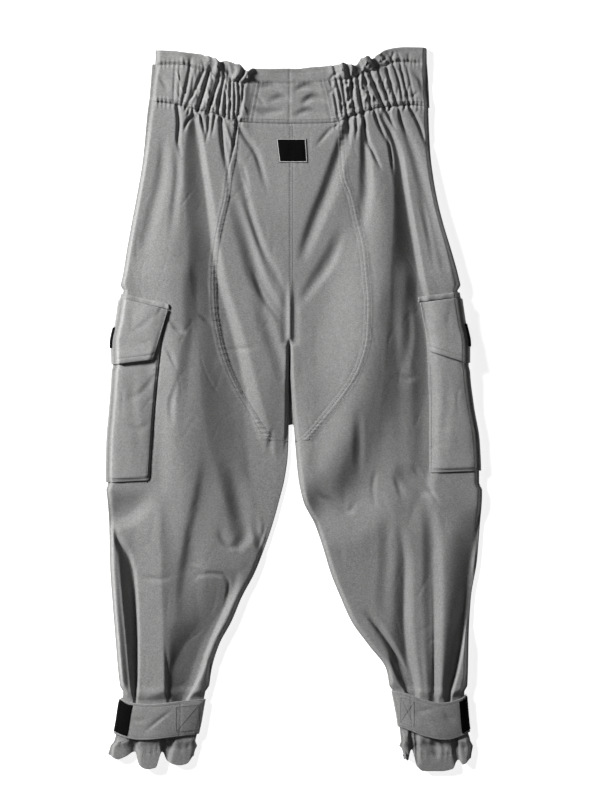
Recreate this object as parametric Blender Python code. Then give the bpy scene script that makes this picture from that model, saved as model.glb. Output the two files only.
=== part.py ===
"""Cargo trousers with a paper-bag waist, laid flat with the back side up.

Sizes are in millimetres in the garment's own layout: "across" runs to the right
from the centre back seam, "drop" runs down from the top of the waist frill, and
"height" runs up from the surface that the garment lies on. The front of the
trousers is the lower layer and the back is the upper one. Each cut piece is a
closed wall of cloth. The upper layer's folds come from the tables below, and
whatever lies on it is worked out from its surface.
"""

from collections import namedtuple

import bpy
import numpy as np

METRE = 0.001
CLOTH = 1.6
GAP = 0.3
TRIM = 1.0
FRONT_CENTRE_GAP = 0.3
TUCK = 0.8
MAX_SLOPE_FACTOR = 1.7

# Two layers of cloth lie face to face along each side seam and inseam.
EDGE_STACK = 2 * CLOTH + GAP
WRAP_CLEARANCE = 0.75
WRAP_INNER = EDGE_STACK / 2 + WRAP_CLEARANCE
WRAP_OUTER = WRAP_INNER + CLOTH
SECOND_WRAP_GAP = 0.5
SECOND_WRAP_INNER = WRAP_OUTER + SECOND_WRAP_GAP
SECOND_WRAP_OUTER = SECOND_WRAP_INNER + CLOTH
WRAP_LIFT = WRAP_OUTER - EDGE_STACK / 2
SECOND_LIFT = SECOND_WRAP_OUTER - WRAP_OUTER
LIFT_REACH = 8.0
LIFT_RAMP = 22.0
LIFT_MARGIN = 12.0
INSET_RAMP = 16.0
BAND_START = 326.0
FLAP_END = 426.0
BAG_END = 585.0
STRAP_START = 866.0
STRAP_END = 931.0

WAIST_ROW = 90.0
WAIST_BLEND = 70.0
CROTCH_DROP = 396.0
FRONT_CROTCH_DROP = 506.0
SEAT_END = 529.0
SEAT_TIP = 527.5
HEM_ROW = 957.0
HEM_BLEND = 20.0

EDGE_ROLL = 54.0
INSEAM_ROLL = 32.0
CROTCH_STRETCH = 0.6

Sides = namedtuple("Sides", "drop left right")
Edge = namedtuple("Edge", "across drop")
Station = namedtuple("Station", "drop across rise left right")
Fold = namedtuple("Fold", "name sharp stations")
Gather = namedtuple("Gather", "at_line at_seam at_end end_drop depth")
Pocket = namedtuple("Pocket", "name side bag_edge bag_bottom flap_edge flap_top flap_bottom band tab")
Strap = namedtuple("Strap", "name side top bottom patch_width")

# Outermost outline: side of the leg, or of the pocket or strap that wraps it.
OUTLINE = [
    Sides(-2, -180, 184), Sides(26, -181, 183), Sides(47, -184, 183), Sides(74, -187, 185),
    Sides(107, -192, 186), Sides(139, -196, 188), Sides(171, -201, 192), Sides(204, -207, 198),
    Sides(236, -213, 206), Sides(269, -219, 216), Sides(301, -224, 225), Sides(333, -231, 232),
    Sides(366, -236, 237), Sides(398, -242, 243), Sides(431, -241, 243), Sides(479, -244, 248),
    Sides(528, -248, 256), Sides(576, -249, 258), Sides(600, -246, 258), Sides(641, -243, 255),
    Sides(690, -242, 251), Sides(738, -239, 243), Sides(787, -235, 240), Sides(836, -231, 239),
    Sides(868, -228, 238), Sides(884, -231, 239), Sides(917, -236, 242), Sides(933, -240, 246),
    Sides(957, -244, 243),
]

# Inner edges of the upper layer's legs, from the crotch down.
INSEAM = [
    Sides(396, -1, -0.6), Sides(452, -3, 2), Sides(506, -3, 6), Sides(544, -4, 9),
    Sides(576, -8, 12), Sides(609, -16, 19), Sides(641, -25, 35), Sides(673, -36, 46),
    Sides(706, -49, 56), Sides(738, -66, 69), Sides(771, -80, 84), Sides(803, -97, 107),
    Sides(836, -107, 131), Sides(864, -111, 136), Sides(884, -115, 140), Sides(907, -119, 144),
    Sides(933, -125, 147), Sides(957, -131, 155),
]

# Seam of the curved seat panel, from the waist to the inseam.
SEAT_SEAM = [
    Sides(90, -69, 65), Sides(134, -71, 66), Sides(171, -78, 69), Sides(201, -82, 79),
    Sides(232, -89, 86), Sides(267, -96, 94), Sides(305, -99, 98), Sides(345, -98, 101),
    Sides(390, -91, 99), Sides(421, -82, 91), Sides(443, -73, 81), Sides(471, -58, 61),
    Sides(496, -43, 41), Sides(515, -30, 25), Sides(522, -22, 18), Sides(529, -3, 8.5),
]

FRILL_TOP = [
    Edge(-184, 1), Edge(-151, 4), Edge(-117, 9), Edge(-89, 18), Edge(-70, 21), Edge(-57, 30),
    Edge(-49, 27), Edge(0, 27), Edge(50, 23), Edge(77, 21), Edge(89, 23), Edge(96, 14),
    Edge(106, 11), Edge(111, 15), Edge(118, 8), Edge(134, 1), Edge(159, -2), Edge(186, -1),
]
FRILL_LINE = [
    Edge(-186, 20), Edge(-154, 20), Edge(-117, 28), Edge(-89, 39), Edge(-63, 45), Edge(0, 45),
    Edge(55, 42), Edge(81, 39), Edge(94, 34), Edge(120, 24), Edge(146, 17), Edge(186, 19),
]
WAIST_SEAM = [
    Edge(-192, 69), Edge(-154, 74), Edge(-128, 81), Edge(-99, 87), Edge(-68, 98), Edge(0, 100),
    Edge(55, 99), Edge(94, 86), Edge(120, 79), Edge(146, 76), Edge(162, 75), Edge(190, 78),
]
HEM_LEFT = [
    Edge(-246, 949), Edge(-232, 956), Edge(-221, 952), Edge(-209, 946), Edge(-203, 964),
    Edge(-192, 969), Edge(-181, 967), Edge(-172, 946), Edge(-165, 959), Edge(-148, 964),
    Edge(-139, 962), Edge(-128, 948),
]
HEM_RIGHT = [
    Edge(150, 944), Edge(158, 958), Edge(164, 943), Edge(171, 965), Edge(180, 972),
    Edge(204, 972), Edge(219, 969), Edge(227, 957), Edge(233, 963), Edge(248, 950),
]

# Left and right ends of the plain block at the centre back, at the frill line and waist seam.
BLOCK_LEFT = Sides(45, -48, -59)
BLOCK_RIGHT = Sides(45, 51, 63)

# Pull of the waist elastic: valleys between gathers, from the frill line to their ends below.
GATHERS_LEFT = [
    Gather(-157, -163, -170, 140, 3.0), Gather(-148, -153, -178, 189, 4.5),
    Gather(-136, -144, -147, 112, 4.0), Gather(-122, -134, -136, 108, 5.0),
    Gather(-110, -123, -135, 135, 6.0), Gather(-97, -111, -116, 112, 5.0),
    Gather(-86, -99, -97, 165, 5.0), Gather(-79, -87, -84, 190, 4.0),
    Gather(-72, -77, -66, 128, 5.0), Gather(-57, -64, -52, 120, 4.0),
]
GATHERS_RIGHT = [
    Gather(58, 68, 60, 122, 4.0), Gather(71, 77, 86, 150, 5.0), Gather(82, 87, 89, 118, 5.0),
    Gather(92, 99, 104, 215, 5.0), Gather(104, 115, 140, 149, 6.0),
    Gather(115, 127, 141, 112, 5.0), Gather(126, 141, 147, 149, 5.0),
    Gather(138, 151, 178, 176, 4.5), Gather(149, 160, 187, 142, 4.0),
    Gather(158, 168, 176, 112, 3.0),
]

# How far the cloth stands above the edge of the band, along the waist.
BAND_FULLNESS = [
    Edge(-186, 0), Edge(-168, 2), Edge(-150, 6.5), Edge(-66, 6.5), Edge(-50, 3), Edge(0, 2.5),
    Edge(52, 3), Edge(68, 6.5), Edge(150, 6.5), Edge(168, 2), Edge(188, 0),
]
# How far the middle of a leg stands above its edges, down the leg.
LEG_FULLNESS = [
    Edge(60, 4), Edge(140, 9), Edge(260, 12), Edge(420, 12), Edge(600, 11), Edge(760, 12),
    Edge(850, 11), Edge(900, 7), Edge(957, 6),
]

FOLDS = [
    Fold("left side pleat", True, [
        Station(90, -135, -3, 8, 5), Station(135, -135, -9, 15, 5), Station(223, -120, -12, 26, 5),
        Station(317, -107, -12, 38, 5), Station(417, -91, -10, 42, 6), Station(518, -72, -8, 34, 8),
        Station(608, -63, 0, 24, 10)]),
    Fold("left outer hollow", False, [
        Station(75, -155, -2, 8, 8), Station(135, -166, -4, 12, 14), Station(243, -186, -3, 16, 18),
        Station(320, -196, 0, 16, 18)]),
    Fold("left seat crease", True, [
        Station(112, -62, -1, 8, 6), Station(150, -66, -6, 9, 5), Station(236, -40, -6, 11, 5),
        Station(314, -12, 0, 8, 4)]),
    Fold("left seat short crease", True, [
        Station(128, -54, 0, 6, 4), Station(150, -45, -5, 8, 4), Station(182, -34, 0, 6, 4)]),
    Fold("left seat hollow", False, [
        Station(170, -80, 0, 8, 10), Station(232, -65, -6, 12, 12), Station(290, -54, -7, 13, 12),
        Station(365, -34, 0, 12, 12)]),
    Fold("left crotch crease", True, [
        Station(262, -52, 0, 8, 5), Station(315, -29, -5, 11, 5), Station(370, -7, 0, 8, 4)]),
    Fold("left thigh hollow", False, [
        Station(470, -50, 0, 10, 8), Station(540, -38, -3, 14, 10), Station(600, -26, 0, 12, 10)]),
    Fold("left knee hook", True, [
        Station(560, -86, 0, 10, 8), Station(620, -78, -8, 14, 9), Station(664, -76, -6, 10, 9),
        Station(676, -76, 0, 8, 8)]),
    Fold("left shin crease", False, [
        Station(590, -119, 0, 10, 8), Station(690, -131, -2.5, 12, 8), Station(780, -146, 0, 10, 8)]),
    Fold("left inner overlap", True, [
        Station(690, -76, 0, 40, 8), Station(736, -87, -5, 48, 6), Station(797, -108, -9, 44, 5),
        Station(857, -132, -12, 26, 5), Station(930, -163, -6, 9, 6), Station(968, -168, -5, 8, 6)]),
    Fold("left middle step", True, [
        Station(770, -170, 0, 4, 14), Station(824, -165, -6, 4, 22), Station(880, -166, -6, 4, 16),
        Station(960, -172, -3, 5, 8)]),
    Fold("left outer overlap", True, [
        Station(640, -236, 0, 6, 12), Station(702, -224, -8, 5, 12), Station(797, -214, -11, 4, 8),
        Station(880, -211, -9, 4, 8), Station(965, -207, -5, 6, 8)]),
    Fold("left cuff slit", True, [
        Station(815, -116, 0, 6, 4), Station(850, -113, -4, 8, 4), Station(950, -138, 0, 6, 5)]),
    Fold("right side pleat", True, [
        Station(100, 126, -4, 8, 6), Station(149, 142, -10, 10, 4), Station(223, 153, -13, 26, 4),
        Station(304, 164, -12, 40, 5), Station(331, 168, -8, 42, 6), Station(372, 160, 0, 36, 10)]),
    Fold("right thigh valley", False, [
        Station(270, 134, 0, 16, 20), Station(338, 119, -9, 20, 30), Station(430, 107, -10, 20, 32),
        Station(500, 90, -9, 22, 32), Station(560, 54, -7, 16, 28), Station(606, 14, 0, 12, 22)]),
    Fold("right pocket crease", True, [
        Station(330, 150, 0, 6, 8), Station(380, 150, -5, 10, 7), Station(470, 158, -3, 12, 9),
        Station(540, 166, 0, 10, 8)]),
    Fold("right seat crease", True, [
        Station(100, 76, -4, 8, 10), Station(142, 57, -8, 9, 15), Station(215, 25, -7, 9, 16),
        Station(290, 8, 0, 7, 12)]),
    Fold("right seat hollow", False, [
        Station(228, 58, 0, 14, 14), Station(290, 36, -6, 16, 16), Station(340, 8, 0, 10, 14)]),
    Fold("right waist hollow", False, [
        Station(92, 99, -4, 8, 8), Station(125, 104, -5, 9, 9), Station(225, 103, 0, 12, 9)]),
    Fold("right hip hollow", False, [
        Station(78, 151, -3, 10, 8), Station(128, 165, -6, 14, 10), Station(223, 190, -4, 16, 12),
        Station(300, 207, 0, 14, 10)]),
    Fold("right knee crease", True, [
        Station(588, 28, 0, 8, 8), Station(606, 52, -3, 16, 16), Station(628, 82, 0, 14, 14)]),
    Fold("right knee dimple", True, [
        Station(578, 176, 0, 10, 6), Station(600, 192, -5, 12, 5), Station(620, 203, 0, 8, 5)]),
    Fold("right inner hollow", False, [
        Station(625, 122, 0, 12, 14), Station(700, 126, -5, 14, 16), Station(745, 124, 0, 12, 14)]),
    Fold("right inner overlap", True, [
        Station(645, 148, 0, 14, 6), Station(720, 151, -7, 20, 5), Station(790, 149, -8, 22, 5),
        Station(864, 161, -8, 14, 5), Station(950, 170, -4, 8, 6)]),
    Fold("right middle overlap", True, [
        Station(605, 178, 0, 12, 8), Station(690, 186, -6, 14, 7), Station(800, 190, -7, 13, 6),
        Station(880, 192, -6, 11, 6), Station(950, 196, -2, 8, 8)]),
    Fold("right outer overlap", True, [
        Station(600, 257, 0, 20, 4), Station(690, 250, -8, 42, 4), Station(760, 241, -12, 40, 4),
        Station(844, 221, -13, 24, 4), Station(878, 215, -10, 16, 4), Station(962, 226, -4, 8, 6)]),
    Fold("right calf overlap", True, [
        Station(745, 92, 0, 8, 10), Station(790, 124, -7, 8, 12), Station(840, 150, -8, 10, 10),
        Station(905, 162, 0, 8, 8)]),
]

POCKETS = [
    Pocket("left", -1,
           bag_edge=[Edge(348, -166), Edge(385, -173), Edge(424, -177), Edge(481, -183), Edge(583, -190)],
           bag_bottom=(580, 583), flap_edge=(-164, -184), flap_top=(352, 337), flap_bottom=(418, 424),
           band=(-163, 344, 330), tab=(375, 402)),
    Pocket("right", 1,
           bag_edge=[Edge(348, 179), Edge(405, 185), Edge(489, 188), Edge(570, 188)],
           bag_bottom=(570, 567), flap_edge=(176, 188), flap_top=(342, 336), flap_bottom=(407, 422),
           band=(174, 334, 328), tab=(370, 400)),
]
BAND_HEIGHT = 6.5
BAG_TOP_INSET = 6.0
BAG_FULLNESS = 2.2
FLAP_FULLNESS = 0.8
TAB_WIDTH = 5.0
TRIM_GAP = 0.45

STRAPS = [
    Strap("left", -1,
          top=[Edge(-232, 872), Edge(-215, 880), Edge(-190, 882), Edge(-146, 878), Edge(-108, 876)],
          bottom=[Edge(-238, 921), Edge(-219, 927), Edge(-200, 929), Edge(-155, 925), Edge(-115, 921)],
          patch_width=13.0),
    Strap("right", 1,
          top=[Edge(138, 865), Edge(154, 867), Edge(180, 876), Edge(205, 880), Edge(230, 875), Edge(242, 867)],
          bottom=[Edge(142, 911), Edge(162, 917), Edge(180, 924), Edge(210, 929), Edge(231, 924), Edge(244, 918)],
          patch_width=11.0),
]
STRAP_CROWN = 7.5
STRAP_SHARES = (0.0, 0.5, 1.0)
STRAP_COLUMNS = 14
STRAP_EASE = 0.9
STRAP_HOLD = 14.0
STRAP_RELEASE = 30.0

LABEL_LEFT = (-18, -14)
LABEL_RIGHT = (21, 23)
LABEL_DROP = (121, 152.5)

BACK_ROWS = [90, 104, 125, 150, 180, 210, 240, 270, 290, 310, 326, 346, 370, 396, 426, 442, 463, 485,
             505, 522, 529, 556, 585, 601, 624, 650, 680, 710, 740, 770, 800, 826, 850, 866, 882, 905,
             931, 941, 957]
FRONT_ROWS = [90, 160, 230, 290, 310, 326, 370, 426, 442, 505.5, 508.5, 556, 585, 601, 660, 720, 780,
              850, 866, 900, 931, 941, 957]
FRONT_SHARES = [0.0, 0.13, 0.22, 0.32, 0.42, 0.7, 1.0]
BAG_ROWS = [343, 370, 398, 426, 442, 470, 500, 530, 558, 1000]
FRONT_WAIST_COLUMNS = [-120, -89, -70, -57, -40, 20, 50, 77, 94, 106, 118, 134, 160]
SEAT_COLUMNS = 7
ARC_STEPS = 6

# Even grid on which the layers' heights are worked out.
MAP_STEP = 2.5
MAP_ACROSS = np.arange(-280.0, 280.1, MAP_STEP)[None, :]
MAP_DROP = np.arange(-15.0, 990.1, MAP_STEP)[:, None]
SPREAD_ACROSS = 7.5
SPREAD_DROP = 15.0

COLOURS = {
    "twill": (0.30, 0.30, 0.30, 1.0),
    "label": (0.012, 0.012, 0.012, 1.0),
}
ROUGHNESS = {"twill": 0.78, "label": 0.6}


def ease(value):
    """Smooth ramp from 0 to 1."""
    share = np.clip(value, 0.0, 1.0)
    return share * share * (3.0 - 2.0 * share)


def curve(stations, values, at):
    """Smooth curve through the given stations that never overshoots its values."""
    x = np.asarray(stations, float)
    y = np.asarray(values, float)
    step = np.diff(x)
    slope = np.diff(y) / step
    tangent = np.zeros(len(x))
    tangent[0] = slope[0]
    tangent[-1] = slope[-1]
    for i in range(1, len(x) - 1):
        if slope[i - 1] * slope[i] > 0:
            tangent[i] = 2 * slope[i - 1] * slope[i] / (slope[i - 1] + slope[i])
    at = np.clip(np.asarray(at, float), x[0], x[-1])
    k = np.clip(np.searchsorted(x, at, side="right") - 1, 0, len(step) - 1)
    t = (at - x[k]) / step[k]
    start = (1 + 2 * t) * (1 - t) ** 2 * y[k] + t * (1 - t) ** 2 * step[k] * tangent[k]
    end = t * t * (3 - 2 * t) * y[k + 1] + t * t * (t - 1) * step[k] * tangent[k + 1]
    return start + end


def read(table, at, column):
    """Value of a column of a table along its first column."""
    return curve([row[0] for row in table], [row[column] for row in table], at)


def side_column(side):
    """Column of a Sides row for the left (-1) or right (1) half."""
    return 1 if side < 0 else 2


def span_weight(drop, start, end, ramp):
    """1 between start and end, easing to 0 over a ramp outside them."""
    return ease((drop - start + ramp) / ramp) * ease((end + ramp - drop) / ramp)


def pocket_of(side):
    """The pocket on one side."""
    return POCKETS[0] if side < 0 else POCKETS[1]


def strap_of(side):
    """The ankle strap on one side."""
    return STRAPS[0] if side < 0 else STRAPS[1]


def strap_drop(strap, across, share):
    """Drop of a point on a strap, from its upper edge (0) to its lower edge (1)."""
    top = read(strap.top, across, 1)
    return top + (read(strap.bottom, across, 1) - top) * share


def wrap_weights(drop):
    """Where a pocket bag, the flap on it and a strap lie round the side of a leg."""
    bag = span_weight(drop, BAND_START, BAG_END, INSET_RAMP)
    flap = span_weight(drop, BAND_START, FLAP_END, INSET_RAMP)
    strap = span_weight(drop, STRAP_START, STRAP_END, INSET_RAMP)
    return bag, flap, strap


def leg_side(side, drop):
    """Across position of the leg's outer edge, inside whatever wraps it."""
    bag, flap, strap = wrap_weights(drop)
    inset = WRAP_OUTER * np.maximum(bag, strap) + SECOND_LIFT * flap
    return read(OUTLINE, drop, side_column(side)) - side * inset


def leg_inseam(side, drop):
    """Across position of the leg's inner edge, inside the ankle strap."""
    return read(INSEAM, drop, side_column(side)) + side * WRAP_OUTER * wrap_weights(drop)[2]


def lift(across, drop, margin=0.0):
    """Height of the front layer's underside: 0, or more over what wraps under it."""
    total = np.zeros(np.broadcast(across, drop).shape)
    bag, flap, strap = wrap_weights(drop)
    for side in (-1, 1):
        inner = abs(read(pocket_of(side).bag_edge, drop, 1)) - LIFT_REACH
        reach = ease((across * side - inner + margin + LIFT_RAMP) / LIFT_RAMP)
        leg = np.where(across * side > 0, 1.0, 0.0)
        total = total + leg * (reach * (WRAP_LIFT * bag + SECOND_LIFT * flap) + WRAP_LIFT * strap)
    return total


def fold_rise(fold, across, drop):
    """Height that one fold adds at each point."""
    drops = [s.drop for s in fold.stations]
    centre = curve(drops, [s.across for s in fold.stations], drop)
    rise = curve(drops, [s.rise for s in fold.stations], drop)
    left = curve(drops, [s.left for s in fold.stations], drop)
    right = curve(drops, [s.right for s in fold.stations], drop)
    offset = across - centre
    share = np.clip(1.0 - np.abs(offset) / np.where(offset < 0, left, right), 0.0, 1.0)
    profile = share ** 1.6 if fold.sharp else ease(share)
    inside = (drop >= drops[0]) & (drop <= drops[-1])
    return np.where(inside, rise * profile, 0.0)


def gather_fold(gather):
    """The valley of one gather, from the frill's top edge to its end below the waist."""
    lean = 0.3 * (gather.at_line - gather.at_seam)
    return Fold("gather", True, [
        Station(-6, gather.at_line + lean, -0.8 * gather.depth, 8, 6),
        Station(34, gather.at_line, -gather.depth, 7, 5),
        Station(86, gather.at_seam, -gather.depth, 7, 5),
        Station(gather.end_drop, gather.at_end, 0, 9, 6)])


GATHER_FOLDS = [gather_fold(g) for g in GATHERS_LEFT + GATHERS_RIGHT]


def leg_profile(across, drop):
    """1 in the middle of a leg, easing to 0 at its side and inseam."""
    outer = np.minimum(across - leg_side(-1, drop), leg_side(1, drop) - across)
    above = np.clip(CROTCH_DROP - drop, 0.0, None) * CROTCH_STRETCH
    edge = np.where(across < 0, leg_inseam(-1, drop), leg_inseam(1, drop))
    inner = np.hypot(np.abs(across - edge), above)
    rise_out = np.sin(np.clip(outer / EDGE_ROLL, 0.0, 1.0) * np.pi / 2)
    rise_in = np.sin(np.clip(inner / INSEAM_ROLL, 0.0, 1.0) * np.pi / 2)
    return rise_out * rise_in


def strap_inner_height(side, across, drop):
    """Height of the underside of an ankle strap over the leg."""
    outer = leg_side(side, drop)
    inner = leg_inseam(side, drop)
    share = np.clip((across - inner) / (outer - inner), 0.0, 1.0)
    return WRAP_OUTER + WRAP_INNER + STRAP_CROWN * np.sin(np.pi * share) ** 0.7


def strap_cap(across, drop):
    """Greatest height of the leg, held down under each strap."""
    cap = np.full(np.broadcast(across, drop).shape, 1000.0)
    for side in (-1, 1):
        strap = strap_of(side)
        above = strap_drop(strap, across, 0.0) - drop
        below = drop - strap_drop(strap, across, 1.0)
        outside = np.maximum(np.maximum(above, below) - STRAP_HOLD, 0.0)
        held = strap_inner_height(side, across, drop) - STRAP_EASE
        release = 25.0 * ease(outside / STRAP_RELEASE)
        cap = np.where(across * side > 0, held + release, cap)
    return cap


def raw_back(across, drop):
    """Height of the back layer's upper surface, before it is kept clear of its neighbours."""
    loose = ease((drop - 60.0) / 80.0)
    band = read(BAND_FULLNESS, across, 1)
    leg = read(LEG_FULLNESS, drop, 1) * leg_profile(across, drop)
    height = lift(across, drop, LIFT_MARGIN) + EDGE_STACK + (1 - loose) * band + loose * leg
    for fold in FOLDS + GATHER_FOLDS:
        height = height + fold_rise(fold, across, drop)
    return np.minimum(height, strap_cap(across, drop))


def sloped(heights):
    """Vertical thickness of a wall of cloth whose surface follows a map of heights."""
    down, along = np.gradient(heights, MAP_STEP)
    return CLOTH * np.minimum(np.sqrt(1 + along ** 2 + down ** 2), MAX_SLOPE_FACTOR)


def spread(heights, across=SPREAD_ACROSS, drop=SPREAD_DROP):
    """Greatest height near each point of a map, for what lies on it."""
    for axis, reach in ((1, across), (0, drop)):
        cells = int(round(reach / MAP_STEP))
        heights = np.max([np.roll(heights, k, axis) for k in range(-cells, cells + 1)], axis=0)
    return heights


def sample(heights, across, drop):
    """Height of a map at any points, between its grid points."""
    x, y = np.broadcast_arrays((across - MAP_ACROSS[0, 0]) / MAP_STEP, (drop - MAP_DROP[0, 0]) / MAP_STEP)
    i = np.clip(np.floor(x).astype(int), 0, heights.shape[1] - 2)
    j = np.clip(np.floor(y).astype(int), 0, heights.shape[0] - 2)
    u = x - i
    v = y - j
    near = heights[j, i] * (1 - u) + heights[j, i + 1] * u
    far = heights[j + 1, i] * (1 - u) + heights[j + 1, i + 1] * u
    return near * (1 - v) + far * v


def back_maps():
    """Maps of the back layer's upper and lower surfaces."""
    raw = raw_back(MAP_ACROSS, MAP_DROP)
    thick = sloped(raw)
    lowest = lift(MAP_ACROSS, MAP_DROP, LIFT_MARGIN) + CLOTH + GAP + thick
    upper = np.maximum(raw, lowest)
    return upper, upper - thick


BACK_UPPER, BACK_LOWER = back_maps()
BACK_SPREAD = spread(BACK_UPPER)


def back_wall(across, drop):
    """Heights of the upper and lower surface of the back layer."""
    return sample(BACK_UPPER, across, drop), sample(BACK_LOWER, across, drop)


def place(across, drop, height):
    """Points in metres, with the garment's top towards +Y."""
    across, drop, height = np.broadcast_arrays(across, drop, height)
    return np.stack([across * METRE, -drop * METRE, height * METRE], axis=-1)


def material(name):
    """The material of a finish, made once."""
    made = bpy.data.materials.get(name)
    if made is None:
        made = bpy.data.materials.new(name)
        made.use_nodes = True
        shader = made.node_tree.nodes["Principled BSDF"]
        shader.inputs["Base Color"].default_value = COLOURS[name]
        shader.inputs["Roughness"].default_value = ROUGHNESS[name]
        shader.inputs["Metallic"].default_value = 0.0
    return made


def grid_faces(rows, columns, closed, start, flatter):
    """Triangles of a grid of points, each cell split along its flatter diagonal."""
    faces = []
    for r in range(rows - 1):
        for c in range(columns if closed else columns - 1):
            after = (c + 1) % columns
            a = start + r * columns + c
            b = start + r * columns + after
            d = start + (r + 1) * columns + c
            e = start + (r + 1) * columns + after
            if flatter[r, c]:
                faces += [(a, d, e), (a, e, b)]
            else:
                faces += [(a, d, b), (b, d, e)]
    return faces


def turn(first, second, third):
    """Signed area of each triangle seen from above: its sign is the way it turns."""
    one = second - first
    two = third - first
    return one[..., 0] * two[..., 1] - one[..., 1] * two[..., 0]


def flatter_split(points):
    """Whether each cell is split from its first corner: along its flatter diagonal, and inside it."""
    ahead = np.roll(points, -1, axis=1)
    a, b, d, e = points[:-1], ahead[:-1], points[1:], ahead[1:]
    flatter = np.abs(a[..., 2] - e[..., 2]) <= np.abs(b[..., 2] - d[..., 2])
    from_first = turn(a, d, e) * turn(a, e, b) > 0
    from_second = turn(a, d, b) * turn(b, d, e) > 0
    return np.where(from_first == from_second, flatter, from_first)


def wall(name, outer, inner, finish, closed=False):
    """A closed solid between two grids of points of the same shape."""
    rows, columns = outer.shape[:2]
    flatter = flatter_split(outer)
    count = rows * columns
    faces = grid_faces(rows, columns, closed, 0, flatter)
    faces += [(c, b, a) for a, b, c in grid_faces(rows, columns, closed, count, flatter)]
    last = (rows - 1) * columns
    for c in range(columns if closed else columns - 1):
        after = (c + 1) % columns
        faces.append((c, after, count + after, count + c))
        faces.append((last + after, last + c, count + last + c, count + last + after))
    if not closed:
        for r in range(rows - 1):
            a = r * columns
            b = (r + 1) * columns
            faces.append((b, a, count + a, count + b))
            faces.append((a + columns - 1, b + columns - 1, count + b + columns - 1, count + a + columns - 1))
    points = np.concatenate([outer.reshape(-1, 3), inner.reshape(-1, 3)])
    if enclosed_volume(points, faces) < 0:
        faces = [tuple(reversed(face)) for face in faces]
    mesh = bpy.data.meshes.new(name)
    mesh.from_pydata(points.tolist(), [], faces)
    mesh.update()
    mesh.shade_smooth()
    mesh.set_sharp_from_angle(angle=np.radians(50))
    mesh.materials.append(material(finish))
    piece = bpy.data.objects.new(name, mesh)
    bpy.context.scene.collection.objects.link(piece)
    return piece


def enclosed_volume(points, faces):
    """Signed volume inside a closed mesh."""
    total = 0.0
    for face in faces:
        for i in range(1, len(face) - 1):
            total += np.dot(points[face[0]], np.cross(points[face[i]], points[face[i + 1]]))
    return total / 6.0


def settle_rows(across, drop):
    """Real drop of a nominal row: the first row follows the waist seam, the last the hem."""
    waist = (1 - ease((drop - WAIST_ROW) / WAIST_BLEND)) * (read(WAIST_SEAM, across, 1) + GAP - WAIST_ROW)
    hem = np.where(across < 0, read(HEM_LEFT, across, 1), read(HEM_RIGHT, across, 1))
    down = ease((drop - (HEM_ROW - HEM_BLEND)) / HEM_BLEND) * (hem - HEM_ROW)
    return drop + waist + down


def seat_seam(side, drop):
    """Across position of the seat panel's seam, straight between the back's rows."""
    stations = read(SEAT_SEAM, np.array(BACK_ROWS), side_column(side))
    stations = np.where(np.array(BACK_ROWS) >= SEAT_END, leg_inseam(side, np.array(BACK_ROWS)), stations)
    return np.interp(drop, BACK_ROWS, stations)


def seam_gap(side, drop):
    """Half of the gap at the seat seam, measured across."""
    lean = (seat_seam(side, drop + 3) - seat_seam(side, drop - 3)) / 6.0
    return 0.5 * GAP * np.sqrt(1 + lean ** 2)


def leg_columns(side, gathers):
    """Shares across a leg of its columns: at the waist they follow the gathers."""
    seat = seat_seam(side, WAIST_ROW)
    outer = leg_side(side, WAIST_ROW)
    valleys = [g.at_seam for g in gathers if abs(g.at_seam) > abs(seat) + 4]
    stops = sorted(valleys + [seat, outer], key=abs)
    shares = []
    for near, far in zip(stops, stops[1:]):
        shares += [near, 0.5 * (near + far)]
    shares.append(stops[-1])
    at_waist = (np.array(shares) - seat) / (outer - seat)
    even = np.linspace(0, 1, len(at_waist))
    return at_waist, even


def back_leg(side, gathers):
    """The main back panel of a leg, from the side seam to the seat panel and inseam."""
    at_waist, even = leg_columns(side, gathers)
    drops = np.array(BACK_ROWS, float)
    inner = np.where(drops < SEAT_END - 0.1, seat_seam(side, drops) + side * seam_gap(side, drops),
                     leg_inseam(side, drops))
    outer = leg_side(side, drops)
    settle = ease((drops - WAIST_ROW) / 130.0)[:, None]
    shares = (1 - settle) * at_waist + settle * even
    across = inner[:, None] + (outer - inner)[:, None] * shares
    drop = settle_rows(across, drops[:, None])
    upper, lower = back_wall(across, drop)
    name = "back_leg_left" if side < 0 else "back_leg_right"
    return wall(name, place(across, drop, upper), place(across, drop, lower), "twill")


def seat_panel(side):
    """The curved panel between the centre back seam or inseam and the seat seam."""
    drops = np.array([d for d in BACK_ROWS if d <= SEAT_END - 1] + [SEAT_TIP], float)
    centre = np.where(drops < CROTCH_DROP, side * 0.5 * GAP, leg_inseam(side, drops))
    centre = np.where(drops < CROTCH_DROP, centre, np.where(
        np.abs(centre) < 0.5 * GAP, side * 0.5 * GAP, centre))
    seam = seat_seam(side, drops) - side * seam_gap(side, drops)
    shares = np.linspace(0, 1, SEAT_COLUMNS)
    across = centre[:, None] + (seam - centre)[:, None] * shares
    drop = settle_rows(across, drops[:, None])
    upper, lower = back_wall(across, drop)
    name = "seat_panel_left" if side < 0 else "seat_panel_right"
    return wall(name, place(across, drop, upper), place(across, drop, lower), "twill")


def front_grid(side):
    """Across and drop of the points of a front leg, a row from its side to its inner edge."""
    drops = np.array(FRONT_ROWS, float)
    outer = leg_side(side, drops) - side * TUCK
    seam = np.interp(drops, [0, CROTCH_DROP, FRONT_CROTCH_DROP], [0, 0, 3.5]) + side * 0.5 * FRONT_CENTRE_GAP
    inner = np.where(drops <= FRONT_CROTCH_DROP, seam, leg_inseam(side, drops) + side * TUCK)
    across = outer[:, None] + (inner - outer)[:, None] * np.array(FRONT_SHARES)
    drop = settle_rows(across, drops[:, None]) - TUCK * (drops[:, None] > HEM_ROW - 1)
    return across, drop


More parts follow.
